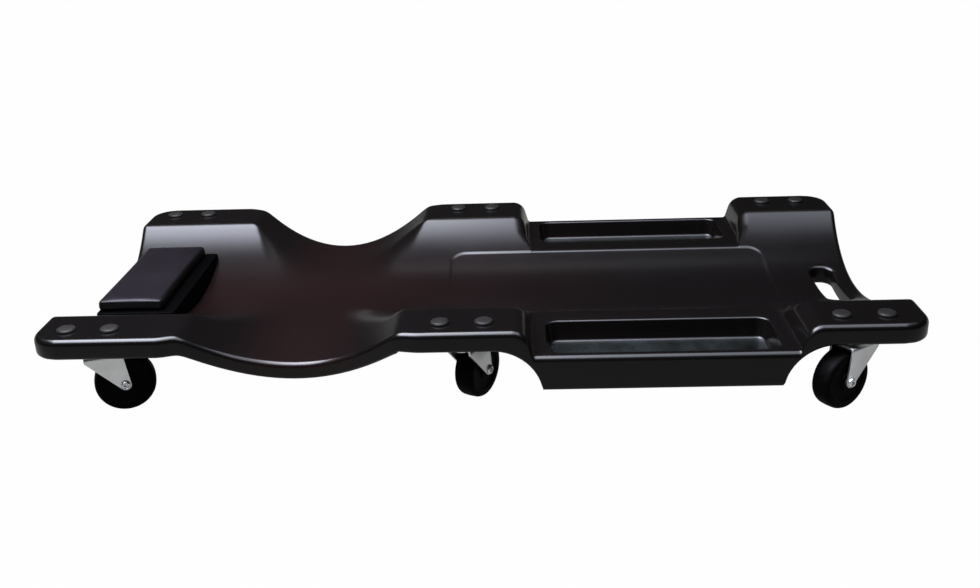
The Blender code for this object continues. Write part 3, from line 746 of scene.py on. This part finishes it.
# Headrest cushion
# A thin slab of foam in a tight cover of dark vinyl, with a grained top panel and painted shade round
# its sides. A short cloth simulation inflates the cover, with its top seam and its underside held.

cushion_low, cushion_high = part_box("headrest_cushion")
CUSHION_SIDE = 0.012
CUSHION_CROWN = 0.0026
CUSHION_BULGE = 0.0012
CUSHION_PULL = 0.0015
CUSHION_CORNER = 0.004
CUSHION_ROUND = 0.0010
SEAM_HELD = 0.0035
VOXEL = 0.0025
PRESSURE = 4.0
FRAMES = 20
MOST_SWELL = 0.0008

cushion_middle = (cushion_low + cushion_high).xy / 2
pad_x, pad_y = (cushion_high - cushion_low).xy / 2 - Vector((CUSHION_BULGE, CUSHION_BULGE))
seam_z = cushion_low.z + CUSHION_SIDE


def pad_shares(spot):
    """How far a point is from the pad's middle, as shares of its half length and half width."""
    aside = spot - cushion_middle
    return min(max(aside.x / pad_x, -1.0), 1.0), min(max(aside.y / pad_y, -1.0), 1.0)


def drawn_in(spot):
    """A point of the outline, once the tight cover has drawn the sides in between the corners."""
    u, v = pad_shares(spot)
    return spot - CUSHION_PULL * Vector((u * (1 - v * v), v * (1 - u * u)))


def pad_crown(spot):
    u, v = pad_shares(spot)
    return CUSHION_CROWN * ((1 - u**4) * (1 - v**6)) ** 0.7


pad_spots = rounded_outline(cushion_middle, pad_x, pad_y, CUSHION_CORNER, VOXEL)
cushion_spots = [(drawn_in(spot), out) for spot, out in pad_spots]
cushion_levels = []
for level, out in ((0.0, 0.0), (0.15, 0.9), (0.5, 1.0), (0.85, 0.6)):
    cushion_levels.append((-CUSHION_BULGE * out, cushion_low.z + CUSHION_SIDE * level))
cushion_levels += arc_levels(CUSHION_ROUND, seam_z)
cushion_mesh = slab("headrest_pad", cushion_spots, cushion_levels)
# The vinyl has a cell grain, and painted shade makes it darker where it doesn't face up.
vinyl, vinyl_shader = finish_of("dark_vinyl", Specular_IOR_Level=0.12)
tree = vinyl.node_tree
place = tree.nodes.new("ShaderNodeTexCoord")
cells = added(tree, "ShaderNodeTexVoronoi", Scale=700.0)
cells.feature = "SMOOTH_F1"
scuffs = added(tree, "ShaderNodeTexNoise", Scale=28.0, Detail=5.0)
dull = added(tree, "ShaderNodeMapRange", From_Min=0.3, From_Max=0.7, To_Min=0.34, To_Max=0.44)
bump = added(tree, "ShaderNodeBump", Strength=0.7, Distance=0.00012)
faces_up = tree.nodes.new("ShaderNodeSeparateXYZ")
painted_side_shade = added(tree, "ShaderNodeMapRange", From_Min=0.35, From_Max=0.75)
tint = colour_mix(tree, A=(0.0012, 0.0012, 0.0015), B=(0.0074, 0.0058, 0.0084))
for texture in (cells, scuffs):
    link(tree, place, "Object", texture, "Vector")
link(tree, place, "Normal", faces_up, "Vector")
link(tree, faces_up, "Z", painted_side_shade, "Value")
link(tree, painted_side_shade, "Result", tint, "Factor")
link(tree, scuffs, "Fac", dull, "Value")
link(tree, cells, "Distance", bump, "Height")
link(tree, tint, "Result", vinyl_shader, "Base Color")
link(tree, dull, "Result", vinyl_shader, "Roughness")
link(tree, bump, "Normal", vinyl_shader, "Normal")


def evaluated_mesh(thing):
    graph = bpy.context.evaluated_depsgraph_get()
    return bpy.data.meshes.new_from_object(thing.evaluated_get(graph))


def inflated(mesh):
    """The cover after its foam has pushed it out, with no point moved by more than the cap."""
    pad = placed("pad_in_work", mesh)
    remesh = pad.modifiers.new("even_skin", "REMESH")
    remesh.mode = "VOXEL"
    remesh.voxel_size = VOXEL
    pad.data = evaluated_mesh(pad)
    pad.modifiers.clear()
    for vertex in pad.data.vertices:
        vertex.co.z += pad_crown(vertex.co.xy) * (vertex.co.z - cushion_low.z) / CUSHION_SIDE
    before = [vertex.co.copy() for vertex in pad.data.vertices]
    held = pad.vertex_groups.new(name="underside_and_seam")
    for index, point in enumerate(before):
        aside = point.xy - cushion_middle
        from_side = min(pad_x - abs(aside.x), pad_y - abs(aside.y))
        at_seam = from_side < SEAM_HELD and point.z > seam_z - SEAM_HELD
        if at_seam or point.z < cushion_low.z + VOXEL / 2:
            held.add([index], 1.0, "REPLACE")
    cloth = pad.modifiers.new("cover", "CLOTH")
    cloth.settings.vertex_group_mass = held.name
    cloth.settings.use_pressure = True
    cloth.settings.uniform_pressure_force = PRESSURE
    cloth.settings.effector_weights.gravity = 0.0
    for number in range(1, FRAMES + 1):
        bpy.context.scene.frame_set(number)
    after = evaluated_mesh(pad)
    moves = [vertex.co - start for vertex, start in zip(after.vertices, before)]
    share = min(1.0, MOST_SWELL / max(move.length for move in moves))
    for vertex, start, move in zip(after.vertices, before, moves):
        vertex.co = start + share * move
        vertex.co.z = max(vertex.co.z, cushion_low.z)
    bpy.data.objects.remove(pad)
    bpy.context.scene.frame_set(1)
    after.shade_smooth()
    return after


cushion_mesh = inflated(cushion_mesh)
cushion = piece_of("headrest_pad", cushion_mesh, vinyl, "headrest_vinyl", "deck", "headrest_cushion")
fine_cover = cushion.modifiers.new("fine_cover", "SUBSURF")
fine_cover.levels = 1
fine_cover.render_levels = 1

# Headrest screws
# Two pan-head screws of zinc plated steel, with a plain recess in the head. They are driven up through
# the bed into the base.

EASE_SHARE = 0.45


def eased(*corners, steps=4):
    """An open run of points in which each corner, given with a radius, is rounded."""
    line = [corners[0][:2]]
    for (x0, y0, _), (x1, y1, radius), (x2, y2, _) in zip(corners, corners[1:], corners[2:]):
        here = Vector((x1, y1))
        back = Vector((x0, y0)) - here
        ahead = Vector((x2, y2)) - here
        start = here + back.normalized() * min(radius, back.length * EASE_SHARE)
        end = here + ahead.normalized() * min(radius, ahead.length * EASE_SHARE)
        count = steps if radius else 0
        for step in range(count + 1):
            share = step / count if count else 0.0
            line.append(tuple(start.lerp(here, share).lerp(here.lerp(end, share), share)))
    return line + [corners[-1][:2]]


def turned(name, profile, sides=40, bored=False):
    """A turned solid on Z from radii and heights. A bored one closes its own profile."""
    turned_points = []
    rings = []
    angles = [2 * math.pi * step / sides for step in range(sides)]
    for radius, z in profile:
        if radius:
            ring = [(radius * math.cos(angle), radius * math.sin(angle), z) for angle in angles]
            rings.append(add_points(ring, turned_points))
        else:
            rings.append(add_points([(0.0, 0.0, z)], turned_points) * sides)
    if bored:
        rings.append(rings[0])
    return skin_mesh(name, turned_points, bridge(rings))


def stand(node):
    """The middle of the underside of a node's box, as a place for a piece."""
    low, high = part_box(node)
    return Matrix.Translation((*((low + high).xy / 2), low.z))


# Plated steel has a fine rolled grain, with cloudy patches in its gloss and its colour.
ROLLED = (300.0, 300.0, 2500.0)
plated_steel, source, result, clouds = skin_group("plated_steel", ROLLED, Detail=5.0, Roughness=0.6)
add_sockets(plated_steel, "INPUT", "Color", "Bright", "Dull")
add_sockets(plated_steel, "OUTPUT", "Color", "Color")
tint = colour_mix(plated_steel)
link(plated_steel, clouds, "Fac", tint, "Factor")
link(plated_steel, source, "Bright", tint, "A")
link(plated_steel, source, "Dull", tint, "B")
link(plated_steel, tint, "Result", result, "Color")
ZINC_BRIGHT = (0.90, 0.91, 0.91, 1.0)
ZINC_DULL = (0.74, 0.75, 0.76, 1.0)
zinc, zinc_shader = finish_of("zinc_plate", Metallic=1.0)
zinc_look = {"Bright": ZINC_BRIGHT, "Dull": ZINC_DULL, "Gloss": 0.30, "Matt": 0.46, "Patch_Scale": 60.0}
zinc_skin = wear_skin(zinc, zinc_shader, plated_steel, depth=0.00002, **zinc_look)
link(zinc.node_tree, zinc_skin, "Color", zinc_shader, "Base Color")
screw_low, screw_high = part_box("headrest_screw_end")
screw_head = (screw_high.x - screw_low.x) / 2
SCREW_RADIUS = 0.002
SCREW_HEAD_HEIGHT = 0.0025
screw_length = screw_high.z - screw_low.z
screw_profile = eased(
    (0.0, screw_length, 0.0),
    (SCREW_RADIUS, screw_length - SCREW_RADIUS, 0.0005),
    (SCREW_RADIUS, SCREW_HEAD_HEIGHT, 0.0),
    (screw_head, SCREW_HEAD_HEIGHT, 0.0004),
    (screw_head, SCREW_HEAD_HEIGHT * 0.6, 0.001),
    (screw_head * 0.6, 0.0, 0.0012),
    (screw_head * 0.34, 0.0, 0.0002),
    (screw_head * 0.25, SCREW_HEAD_HEIGHT * 0.5, 0.0002),
    (0.0, SCREW_HEAD_HEIGHT * 0.5, 0.0),
)
screw_mesh = turned("headrest_screw", screw_profile, sides=32)
for end in ("end", "inner"):
    node = f"headrest_screw_{end}"
    piece_of(f"pan_screw_{end}", screw_mesh, zinc, "zinc_steel", "deck", node, place=stand(node))

# Caster plates, swivel bearings and kingpins
# Under each ear sits a pressed steel plate. A riveted kingpin hangs the fork from it, over a ball race
# made of two pressed cups. The plates are the frame's own, in zinc.


def mirrored(half):
    """The other half of a profile that is the same on both sides of its middle."""
    return [(radius, -z, ease) for radius, z, ease in reversed(half)]


RACE_RADIUS = 0.016
RACE_BORE = 0.009
RACE_CUP = 0.0011
RACE_GROOVE = 0.0016
KINGPIN_RADIUS = 0.0045
KINGPIN_HEAD = 0.0075
KINGPIN_HEAD_HEIGHT = 0.0026
race_low, race_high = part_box("mid_left_swivel_bearing")
race_height = race_high.z - race_low.z
race_half = [
    (RACE_BORE, race_height / 2, 0.0),
    (RACE_RADIUS - RACE_CUP, race_height / 2, 0.0006),
    (RACE_RADIUS, race_height / 2 - RACE_CUP, 0.0006),
    (RACE_RADIUS, race_height / 9, 0.0002),
    (RACE_RADIUS - RACE_GROOVE, race_height / 9, 0.0),
]
race_profile = eased(*race_half, *mirrored(race_half))
race_mesh = turned("ball_race", race_profile, sides=48, bored=True)
pin_low, pin_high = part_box("mid_left_kingpin")
pin_height = pin_high.z - pin_low.z
plate_gauge = plate_high.z - race_high.z - SEAT_GAP
pin_profile = eased(
    (0.0, pin_height, 0.0),
    (KINGPIN_HEAD, pin_height, 0.0002),
    (KINGPIN_RADIUS, pin_height - plate_gauge, 0.0003),
    (KINGPIN_RADIUS, KINGPIN_HEAD_HEIGHT, 0.0),
    (KINGPIN_HEAD, KINGPIN_HEAD_HEIGHT, 0.0004),
    (KINGPIN_HEAD * 0.92, KINGPIN_HEAD_HEIGHT * 0.4, 0.0012),
    (KINGPIN_HEAD * 0.5, 0.0, 0.002),
    (0.0, 0.0, 0.0),
)
pin_mesh = turned("kingpin", pin_profile)
race_lift = Matrix.Translation((0.0, 0.0, race_height / 2))
for place in swivels:
    plate = frame["nodes"][f"{place}_plate"]
    plate.data.materials.clear()
    plate.data.materials.append(zinc)
    node = f"{place}_swivel_bearing"
    spot = stand(node) @ race_lift
    piece_of(f"{place}_ball_race", race_mesh, zinc, "zinc_steel", "deck", node, place=spot)
    node = f"{place}_kingpin"
    piece_of(f"{place}_pivot", pin_mesh, zinc, "zinc_steel", "deck", node, place=stand(node))

# Ear bolts
# Two low button-head bolts go down through each ear into the plate's tapped collars. They are of steel
# with a dull dark paint.

BOLT_RADIUS = 0.003
BOLT_HEAD = 0.010
BOLT_CROWN = 0.0006
BOLT_SHOULDER = 0.0014
BOLT_SKIRT = 0.0009
bolt_low, bolt_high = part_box("mid_left_bolt_head_side")
bolt_height = bolt_high.z - bolt_low.z
bolt_seat = ear_top + SEAT_GAP - bolt_low.z
bolt_profile = eased(
    (0.0, bolt_height, 0.0),
    (BOLT_HEAD * 0.4, bolt_height - BOLT_CROWN * 0.2, 0.003),
    (BOLT_HEAD - BOLT_SHOULDER, bolt_height - BOLT_CROWN, 0.0018),
    (BOLT_HEAD, bolt_seat + BOLT_SKIRT, 0.0006),
    (BOLT_HEAD, bolt_seat, 0.0),
    (BOLT_RADIUS, bolt_seat, 0.0),
    (BOLT_RADIUS, 0.0, 0.0),
    (0.0, 0.0, 0.0),
)
bolt_paint, bolt_shader = finish_of("dull_bolt_paint", Specular_IOR_Level=0.12)
bolt_look = {"Gloss": 0.40, "Matt": 0.50, "Patch_Scale": 120.0}
wear_skin(bolt_paint, bolt_shader, moulded_skin, depth=0.00003, **bolt_look)
mottle(bolt_paint, bolt_shader, (0.0112, 0.0104, 0.0104), (0.0155, 0.0140, 0.0144), scale=90.0)
bolt_mesh = turned("dome_bolt", bolt_profile, sides=48)
for place in swivels:
    for side in ("head_side", "foot_side"):
        name = f"{place}_dome_bolt_{side}"
        node = f"{place}_bolt_{side}"
        piece_of(name, bolt_mesh, bolt_paint, "bolt_steel", "deck", node, place=stand(node))

# Forks
# Each fork is one blank of zinc plated sheet steel, bent down at both sides into trailing legs, with
# every cut edge slightly broken. It turns about the kingpin.

FORK_WIDTH = 0.0292
FORK_GAUGE = 0.0025
FORK_BEND = 0.0045
FORK_FRONT = 0.009
FORK_NOSE = 0.0146
FORK_REAR = 0.030
FORK_FOOT = 0.006
FORK_SKIRT = 0.004
FORK_EDGE = 0.0005
FOOT_STEPS = 14
FOOT_START = 365
FOOT_SWEEP = 150
BEND_STEPS = 5
NOSE_STEPS = 12
axles = joint_places("_wheel_spin")
trail = (axles["mid_left"] - swivels["mid_left"]).xy.length
axle_height = axles["mid_left"].z
crown_top = race_low.z - SEAT_GAP


def fork_sheet():
    """The outer skin of the bent sheet, trailing along +X from the swivel axis."""
    sheet_points = []
    sheet_faces = []
    half = FORK_WIDTH / 2
    flat = half - FORK_BEND
    bend_low = crown_top - FORK_BEND
    foot = []
    for step in range(FOOT_STEPS + 1):
        angle = math.radians(FOOT_START - FOOT_SWEEP * step / FOOT_STEPS)
        foot.append((trail + FORK_FOOT * math.cos(angle), axle_height + FORK_FOOT * math.sin(angle)))
    front_corner = (-FORK_FRONT, crown_top - FORK_GAUGE - FORK_SKIRT)
    edge_of = {}
    for side in (1, -1):
        leg = add_points([(x, side * half, z) for x, z in [*foot, front_corner]], sheet_points)
        last = None
        for step in range(BEND_STEPS + 1):
            turn = math.radians(90 * step / BEND_STEPS)
            y = side * (flat + FORK_BEND * math.cos(turn))
            z = bend_low + FORK_BEND * math.sin(turn)
            line = add_points([(-FORK_FRONT, y, z), (FORK_REAR, y, z)], sheet_points)
            if last:
                sheet_faces.append((*last, line[1], line[0]))
            else:
                sheet_faces.append((*leg, *line))
            last = line
        edge_of[side] = last
    nose = []
    for step in range(1, NOSE_STEPS):
        turn = math.pi * step / NOSE_STEPS
        reach = FORK_FRONT + (FORK_NOSE - FORK_FRONT) * math.sin(turn)
        nose.append((-reach, -flat * math.cos(turn), crown_top))
    right_front, right_rear = edge_of[-1]
    sheet_faces.append((right_rear, right_front, *add_points(nose, sheet_points), *edge_of[1]))
    return sheet_points, sheet_faces


def bent_fork():
    """The fork with its gauge and broken edges."""
    mesh = plain_mesh("bent_fork", *fork_sheet())
    inside = Vector((trail / 2, 0.0, axle_height))
    bm = bmesh.new()
    bm.from_mesh(mesh)
    for face in bm.faces:
        face.normal_update()
        if face.normal.dot(face.calc_center_median() - inside) < 0:
            face.normal_flip()
    bm.to_mesh(mesh)
    bm.free()
    blank = placed("fork_in_work", mesh)
    gauge = blank.modifiers.new("gauge", "SOLIDIFY")
    gauge.thickness = FORK_GAUGE
    gauge.offset = -1.0
    gauge.use_even_offset = True
    edges = blank.modifiers.new("broken_edges", "BEVEL")
    edges.width = FORK_EDGE
    edges.segments = 2
    edges.limit_method = "ANGLE"
    edges.angle_limit = math.radians(45)
    result = evaluated_mesh(blank)
    bpy.data.objects.remove(blank)
    return shaded(result, sharp=35)


fork_mesh = bent_fork()
turns = {}
for place, spot in swivels.items():
    away = axles[place] - spot
    turns[place] = math.atan2(away.y, away.x)
    stance = Matrix.Translation((spot.x, spot.y, 0.0)) @ Matrix.Rotation(turns[place], 4, "Z")
    name = f"{place}_bent_fork"
    body = f"{place}_swivel"
    piece_of(name, fork_mesh, zinc, "zinc_steel", body, f"{place}_fork", place=stance)

# Wheels
# Solid wheels of hard black rubber, moulded in one, with a crowned tread, a dished web and a plain hub.
# Each turns with its own roller.

WHEEL_WIDTH = 0.022
TREAD_WIDTH = 0.015
TREAD_SHOULDER = 0.0025
TREAD_CROWN = 0.0004
RIM_WIDTH = 0.007
WEB_WIDTH = 0.0196
HUB_RADIUS = 0.010
HUB_PROUD = 0.0006
WHEEL_BORE = 0.006
wheel_radius = axle_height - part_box("mid_left_wheel")[0].z
wheel_side = WHEEL_WIDTH / 2
web = WEB_WIDTH / 2
web_slope = (wheel_side - web) / 2
rim_radius = wheel_radius - TREAD_SHOULDER - RIM_WIDTH
wheel_half = [
    (WHEEL_BORE, wheel_side + HUB_PROUD, 0.0003),
    (HUB_RADIUS, wheel_side + HUB_PROUD, 0.0008),
    (HUB_RADIUS + web_slope, web, 0.0015),
    (rim_radius - web_slope, web, 0.0015),
    (rim_radius, wheel_side, 0.0010),
    (wheel_radius - TREAD_SHOULDER, wheel_side, 0.0016),
    (wheel_radius - TREAD_CROWN, TREAD_WIDTH / 2, 0.0018),
]
wheel_profile = eased(
    (WHEEL_BORE, 0.0, 0.0),
    *wheel_half,
    (wheel_radius, 0.0, 0.004),
    *mirrored(wheel_half),
    (WHEEL_BORE, 0.0, 0.0),
)[:-1]
wheel_rubber, wheel_shader = finish_of("black_wheel", Specular_IOR_Level=0.03)
wheel_look = {"Gloss": 0.42, "Matt": 0.62, "Patch_Scale": 40.0}
wear_skin(wheel_rubber, wheel_shader, moulded_skin, depth=0.00006, **wheel_look)
mottle(wheel_rubber, wheel_shader, (0.0010, 0.0010, 0.0010), (0.0020, 0.0020, 0.0019), scale=30.0)
wheel_mesh = turned("moulded_wheel", wheel_profile, sides=80, bored=True)
axle_stances = {}
for place, spot in axles.items():
    turn = Matrix.Rotation(turns[place], 4, "Z") @ Matrix.Rotation(math.pi / 2, 4, "X")
    axle_stances[place] = Matrix.Translation(spot) @ turn
    name = f"{place}_moulded_wheel"
    body = f"{place}_roller"
    node = f"{place}_wheel"
    piece_of(name, wheel_mesh, wheel_rubber, "wheel_rubber", body, node, place=axle_stances[place])

# Axles and bushings
# A tubular rivet of zinc plated steel holds each wheel between the legs of its fork, and a steel sleeve
# on it carries the hub. Both stay with the fork.

AXLE_RADIUS = 0.0037
AXLE_HEAD = 0.0052
AXLE_HEAD_HEIGHT = 0.0024
AXLE_BORE = 0.0026
AXLE_BORE_DEPTH = 0.004
BUSHING_RADIUS = 0.0055
BUSHING_BORE = 0.0041
head_seat = FORK_WIDTH / 2 + SEAT_GAP
head_tip = head_seat + AXLE_HEAD_HEIGHT
axle_half = [
    (0.0, head_tip - AXLE_BORE_DEPTH, 0.0),
    (AXLE_BORE, head_tip - AXLE_BORE_DEPTH, 0.0004),
    (AXLE_BORE, head_tip, 0.0006),
    (AXLE_HEAD * 0.72, head_tip, 0.0009),
    (AXLE_HEAD, head_seat + AXLE_HEAD_HEIGHT * 0.3, 0.0006),
    (AXLE_HEAD, head_seat, 0.0),
    (AXLE_RADIUS, head_seat, 0.0),
]
axle_profile = eased(*axle_half, *mirrored(axle_half))
axle_mesh = turned("tube_rivet", axle_profile)
sleeve_end = FORK_WIDTH / 2 - FORK_GAUGE - SEAT_GAP
sleeve_half = [(BUSHING_BORE, sleeve_end, 0.0), (BUSHING_RADIUS, sleeve_end, 0.0)]
sleeve_profile = eased(*sleeve_half, *mirrored(sleeve_half))
sleeve_mesh = turned("steel_sleeve", sleeve_profile, bored=True)
for place, stance in axle_stances.items():
    body = f"{place}_swivel"
    piece_of(f"{place}_tube_rivet", axle_mesh, zinc, "zinc_steel", body, f"{place}_axle", place=stance)
    piece_of(f"{place}_sleeve", sleeve_mesh, zinc, "zinc_steel", body, f"{place}_bushing", place=stance)

# Studio
# A pale floor that runs out of sight, one large softbox overhead, a weak even fill, and dark curtains
# all round that only reflections see, so that black plastic stays black.

FLOOR_REACH = 30.0
FLOOR_COLOUR = (0.18, 0.18, 0.18, 1.0)
WHITE_SHARE = 0.99
REFLECTED_SHARE = 0.32
FILL = 0.20


def staged(mesh, material):
    """A sheet of the stage, which isn't part of the object."""
    mesh.materials.append(material)
    sheet = placed(mesh.name, mesh)
    return sheet


def level_sheet(name, x_span, y_span, z):
    corners = [(x_span[a], y_span[b], z) for a, b in ((0, 0), (1, 0), (1, 1), (0, 1))]
    return plain_mesh(name, corners, [(0, 1, 2, 3)])


def bare_tree(owner):
    """The empty node tree of a material or world."""
    owner.use_nodes = True
    owner.node_tree.nodes.clear()
    return owner.node_tree


def mixed(tree, share, first, second):
    blend = tree.nodes.new("ShaderNodeMixShader")
    for output, socket in zip((share, first.outputs[0], second.outputs[0]), blend.inputs):
        tree.links.new(output, socket)
    return blend


def surface(tree, shader, owner="Material"):
    result = tree.nodes.new(f"ShaderNodeOutput{owner}")
    tree.links.new(shader.outputs[0], result.inputs["Surface"])


def only_mirrored(sheet):
    """Hides a sheet of the stage from everything but reflections."""
    sheet.visible_camera = False
    sheet.visible_diffuse = False
    sheet.visible_shadow = False
    sheet.visible_transmission = False


def seen_white(tree, direct, reflected):
    """How white the stage looks to the camera, and to mirrors and glass. Other light gets 0."""
    rays = tree.nodes.new("ShaderNodeLightPath").outputs
    bounced = math_of(tree, "MAXIMUM", rays["Is Glossy Ray"], rays["Is Transmission Ray"])
    seen = math_of(tree, "MULTIPLY", rays["Is Camera Ray"], direct)
    return math_of(tree, "MULTIPLY_ADD", bounced, reflected, seen)


WHITE = (1.0, 1.0, 1.0, 1.0)
floor_paper = bpy.data.materials.new("floor_paper")
tree = bare_tree(floor_paper)
paper = added(tree, "ShaderNodeBsdfDiffuse", Color=FLOOR_COLOUR)
glow = added(tree, "ShaderNodeEmission", Strength=1.0)
surface(tree, mixed(tree, seen_white(tree, WHITE_SHARE, REFLECTED_SHARE), paper, glow))
floor_span = (-FLOOR_REACH, FLOOR_REACH)
staged(level_sheet("floor", floor_span, floor_span, 0.0), floor_paper)

world = bpy.data.worlds.new("studio")
bpy.context.scene.world = world
tree = bare_tree(world)
fill = added(tree, "ShaderNodeBackground", Strength=FILL, Color=WHITE)
backdrop = added(tree, "ShaderNodeBackground", Strength=1.0, Color=WHITE)
surface(tree, mixed(tree, seen_white(tree, 1.0, 1.0), fill, backdrop), "World")

CURTAIN_REACH = 4.0
CURTAIN_LOW = 0.12
CURTAIN_HIGH = 4.6
CURTAIN_SIDES = 48
CURTAIN_GLOW = 0.016
curtain_cloth = bpy.data.materials.new("curtain_cloth")
tree = bare_tree(curtain_cloth)
surface(tree, added(tree, "ShaderNodeEmission", Strength=CURTAIN_GLOW))
curtain_profile = [(CURTAIN_REACH, CURTAIN_LOW), (CURTAIN_REACH, CURTAIN_HIGH)]
only_mirrored(staged(turned("curtain", curtain_profile, sides=CURTAIN_SIDES), curtain_cloth))

# Glossy edges and slopes mirror a glowing ceiling panel, brightest to the left and to the front.
CEILING_GLOW = 28.0
CEILING_HEIGHT = 1.9
CEILING_X = (-1.7, 1.5)
CEILING_Y = (1.4, -1.7)
GLOW_COLOUR = (0.82, 0.86, 1.0, 1.0)
GLOW_FADES = (
    ("X", -1.7, -1.3, 0.0, 1.0),
    ("X", -0.80, 0.65, 1.0, 0.26),
    ("X", 1.2, 1.5, 1.0, 0.0),
    ("Y", -1.7, -0.9, 0.0, 1.0),
    ("Y", 0.36, 0.84, 1.0, 0.0),
)
ceiling_glow = bpy.data.materials.new("ceiling_glow")
tree = bare_tree(ceiling_glow)
place = tree.nodes.new("ShaderNodeTexCoord")
axes = tree.nodes.new("ShaderNodeSeparateXYZ")
link(tree, place, "Object", axes, "Vector")
level = CEILING_GLOW
for way, start, end, before, after in GLOW_FADES:
    fade = added(tree, "ShaderNodeMapRange", From_Min=start, From_Max=end, To_Min=before, To_Max=after)
    fade.interpolation_type = "SMOOTHSTEP"
    link(tree, axes, way, fade, "Value")
    level = math_of(tree, "MULTIPLY", level, fade.outputs["Result"])
glow = added(tree, "ShaderNodeEmission", Color=GLOW_COLOUR)
tree.links.new(level, glow.inputs["Strength"])
surface(tree, glow)
ceiling_panel = level_sheet("ceiling_panel", CEILING_X, CEILING_Y, CEILING_HEIGHT)
only_mirrored(staged(ceiling_panel, ceiling_glow))

SOFTBOX_POWER = 20.0
SOFTBOX_SIZE = (1.1, 0.8)
SOFTBOX_PLACE = (-0.55, -0.10, 1.2)
softbox = bpy.data.lights.new("softbox", "AREA")
softbox.shape = "RECTANGLE"
softbox.size, softbox.size_y = SOFTBOX_SIZE
softbox.energy = SOFTBOX_POWER
placed("softbox", softbox).location = SOFTBOX_PLACE

# Camera
# It stands in front of the right-hand side, a little over half a metre up, and looks down at the deck,
# with a slight roll.

CAMERA_PLACE = Vector((0.0522, -1.198, 0.5321))
CAMERA_YAW = math.radians(-2.066)
CAMERA_PITCH = math.radians(22.058)
CAMERA_ROLL = math.radians(-1.975)
FOCAL_PIXELS = 1074.7
IMAGE_WIDTH = 980
SENSOR = 36.0
camera_data = bpy.data.cameras.new("camera")
camera_data.sensor_fit = "HORIZONTAL"
camera_data.sensor_width = SENSOR
camera_data.lens = SENSOR * FOCAL_PIXELS / IMAGE_WIDTH
camera = placed("camera", camera_data)
facing = Matrix.Rotation(-CAMERA_YAW, 4, "Z") @ Matrix.Rotation(math.pi / 2 - CAMERA_PITCH, 4, "X")
roll = Matrix.Rotation(CAMERA_ROLL, 4, "Z")
camera.matrix_world = Matrix.Translation(CAMERA_PLACE) @ facing @ roll
bpy.context.scene.camera = camera
bpy.context.scene.view_settings.view_transform = "Standard"
